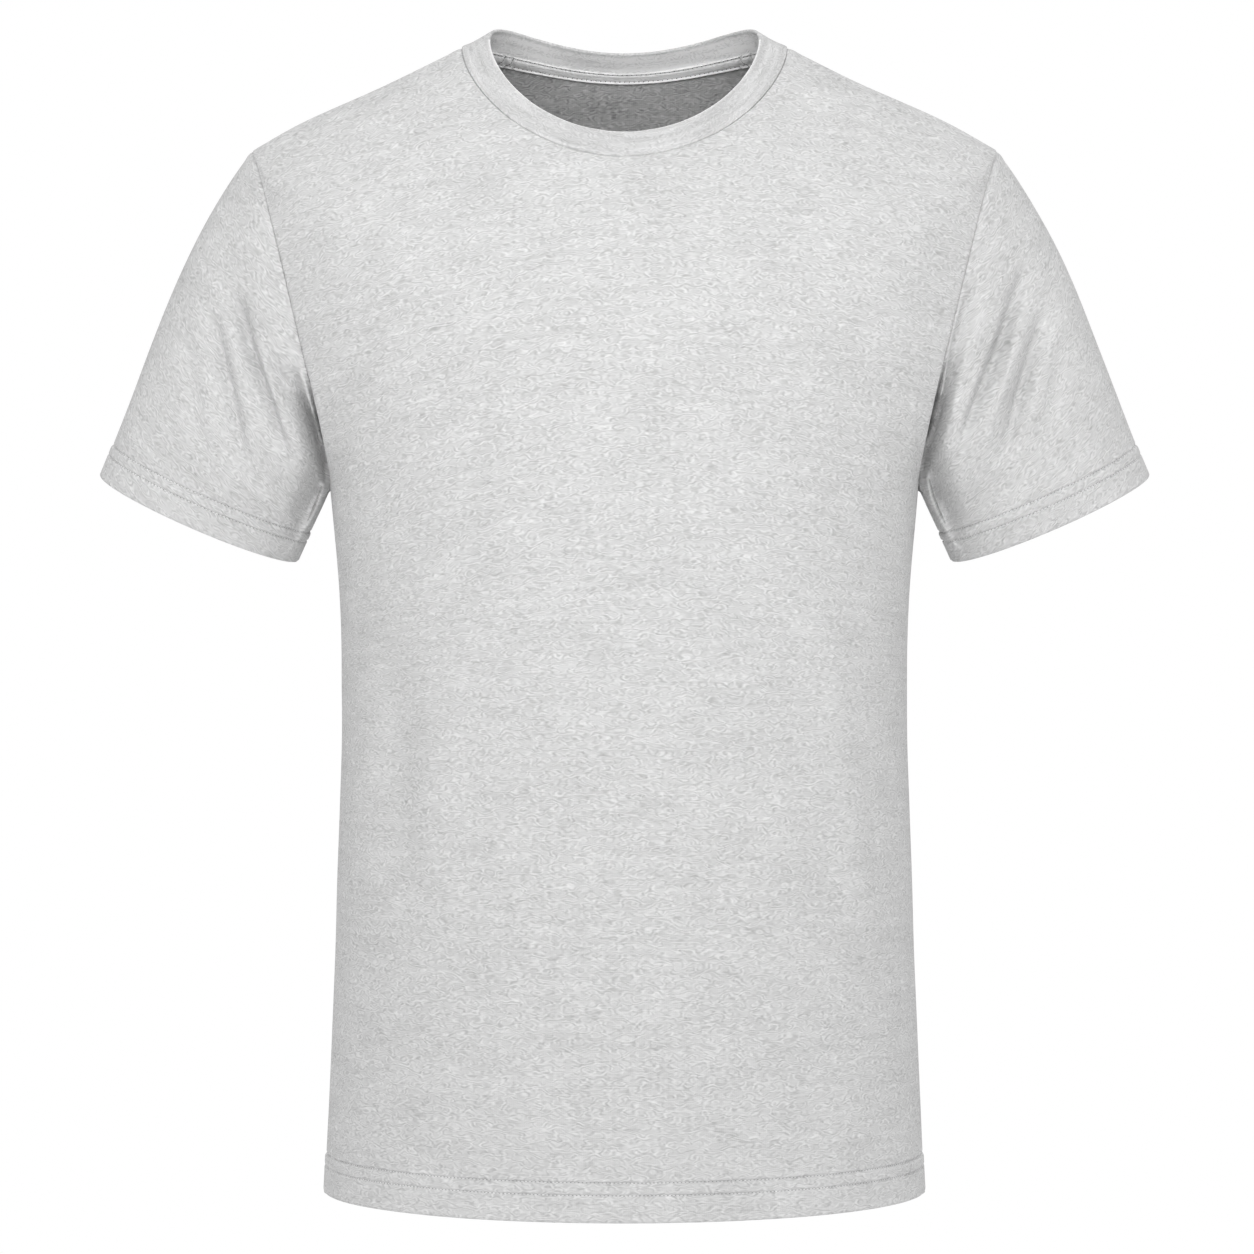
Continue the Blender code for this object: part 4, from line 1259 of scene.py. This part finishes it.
def studio():
    """An even surrounding, paler upwards and behind, and two soft lights in front."""
    world = bpy.data.worlds.new("studio")
    bpy.context.scene.world = world
    graph = Graph(world)
    backwards = graph.node("SeparateXYZ", graph.node("TexCoord"), output=1)
    upwards = graph.node("MapRange").node
    graph.fill(upwards, {"Value": backwards.node.outputs[2], "From Min": -1.0})
    ramp = graph.node("ValToRGB", upwards.outputs["Result"])
    stops = ramp.node.color_ramp.elements
    for number, (place_up, level) in enumerate(SKY):
        stop = stops[number] if number < 2 else stops.new(1.0)
        stop.position = (1 + place_up) / 2
        stop.color = (level, level, level, 1)
    behind = graph.node("MapRange", interpolation_type="SMOOTHSTEP").node
    graph.fill(behind, {"Value": backwards, "From Min": BEHIND[0], "From Max": BEHIND[1]})
    brighter = graph.math("MAXIMUM", ramp, behind.outputs["Result"])
    graph.fill(graph.tree.nodes["Background"], {"Color": brighter, "Strength": 1.0})
    soft_box("front_light", (0.0, -2.9, 1.15), (0, 0, -0.2), (2.4, 1.6), 41.8)
    soft_box("neck_light", (0.0, -2.2, -0.75), (0, 0, 0), (0.5, 0.3), 0.2, math.radians(30))
    bpy.context.scene.view_settings.view_transform = "Standard"
    bpy.context.scene.view_settings.look = "None"


def camera():
    data = bpy.data.cameras.new("camera")
    data.sensor_width = SENSOR
    data.lens = SENSOR * CAMERA_DISTANCE / FRAME_WIDTH
    seat = bpy.data.objects.new("camera", data)
    seat.location = (CAMERA_ASIDE, -CAMERA_DISTANCE, CAMERA_HEIGHT)
    seat.rotation_euler = (QUARTER, 0, 0)
    bpy.context.scene.collection.objects.link(seat)
    bpy.context.scene.camera = seat


# ---------------- the shirt

SIDE_SEAM_SPAN = (BODY_HEM + 1.5 * MM, UNDERARM_AT - 2 * MM)
SHOULDER_SEAM_SPAN = (TIP_AT + 2 * MM, NECK_AT - 4 * MM)


def dress():
    """The six pieces of cloth, with what is sewn to each."""
    # The jersey's inner face takes 0.43 against 0.60 outside: painted shade inside the shirt and
    # on its seam allowances.
    jersey = heather("heather_jersey_knit", 0.60, 0.43, (1.3 * MM, 0.9 * MM))
    # The rib's inner face takes 0.97 against 0.575 outside: painted light on the inside of the
    # neckband.
    rib = heather("heather_rib_knit", 0.575, 0.97, (1.3 * MM, 0.8 * MM), 0.7, 0.5, 0.08, 0.0)
    # The tape's pale 0.95 tone is painted light, for the light that falls on it inside the back
    # neck.
    tape = heather("heather_tape_knit", 0.95, 0.95, (1.2 * MM, 0.9 * MM), 0.35, relief=0.08)
    sewing = thread("sewing_thread", 0.86)
    # A dark tone for beads that paint the shade of the needle holes; the tape's bars are drawn
    # in it too.
    hole_shade = thread("needle_hole_shade", 0.2)

    # The last number says where each piece is cut from the cloth, in metres.
    pieces = {
        "front": panel("front", jersey, 2.0),
        "back": panel("back", jersey, 5.0),
        "sleeve_left": sleeve("sleeve_left", jersey, 8.0),
        "sleeve_right": sleeve("sleeve_right", jersey, 11.0),
        "neckband": neckband(rib, 14.0),
        "neck_tape": neck_tape(tape, 17.0),
    }
    added = {node: [] for node in pieces}
    for node, lines, pitch, hole in (
        ("front", BODY_HEM_LINES, STITCH, HOLE),
        ("back", BODY_HEM_LINES, STITCH, HOLE),
        ("sleeve_left", SLEEVE_HEM_LINES, STITCH, HOLE),
        ("sleeve_right", SLEEVE_HEM_LINES, STITCH, HOLE),
        ("neck_tape", TAPE_LINES, TAPE_STITCH, TAPE_HOLE),
    ):
        sheet = pieces[node]
        for number, line in enumerate(lines, 1):
            row = np.argmin(abs(sheet.rows - line))
            path, ways = sheet.outer[row], sheet.ways[row]
            name = f"{node}_stitches_{number}"
            added[node] += stitch_line(name, path, ways, pitch, hole, sewing, hole_shade)
    _, outer, tape_ways, rows = pieces["neck_tape"]
    for number, bar in enumerate(TAPE_BARS, 1):
        column = np.argmin(abs(outer[len(rows) // 2, :, 0] - bar))
        path, ways = outer[1:-1, column], tape_ways[1:-1, column]
        name = f"neck_tape_bar_{number}"
        # The bars are drawn in the same dark tone as the painted needle-hole shade.
        added["neck_tape"].append(
            stitches(name, path, ways, BAR_STITCH, BAR_SHARE, THREAD, BAR_RISE, 0.5, hole_shade)
        )
    for side, sign in (("left", 1), ("right", -1)):
        for node, name, place, count, shift in (
            ("back", "side_seam", on_panels(sign, *SIDE_SEAM_SPAN), 150, 20.0),
            ("back", "shoulder_seam", on_panels(sign, *SHOULDER_SEAM_SPAN), 60, 21.0),
            (f"sleeve_{side}", "armhole_seam", on_armhole(sign), 220, 22.0),
        ):
            added[node].append(allowance(f"{name}_{side}", place, count, jersey, shift))
    added["neckband"].append(allowance("front_neck_seam", below_front_neck, 200, jersey, 23.0))

    for node, sheet in pieces.items():
        for piece in (sheet.piece, *added[node]):
            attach(piece, "root")
        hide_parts(node)


backdrop()
studio()
camera()
dress()
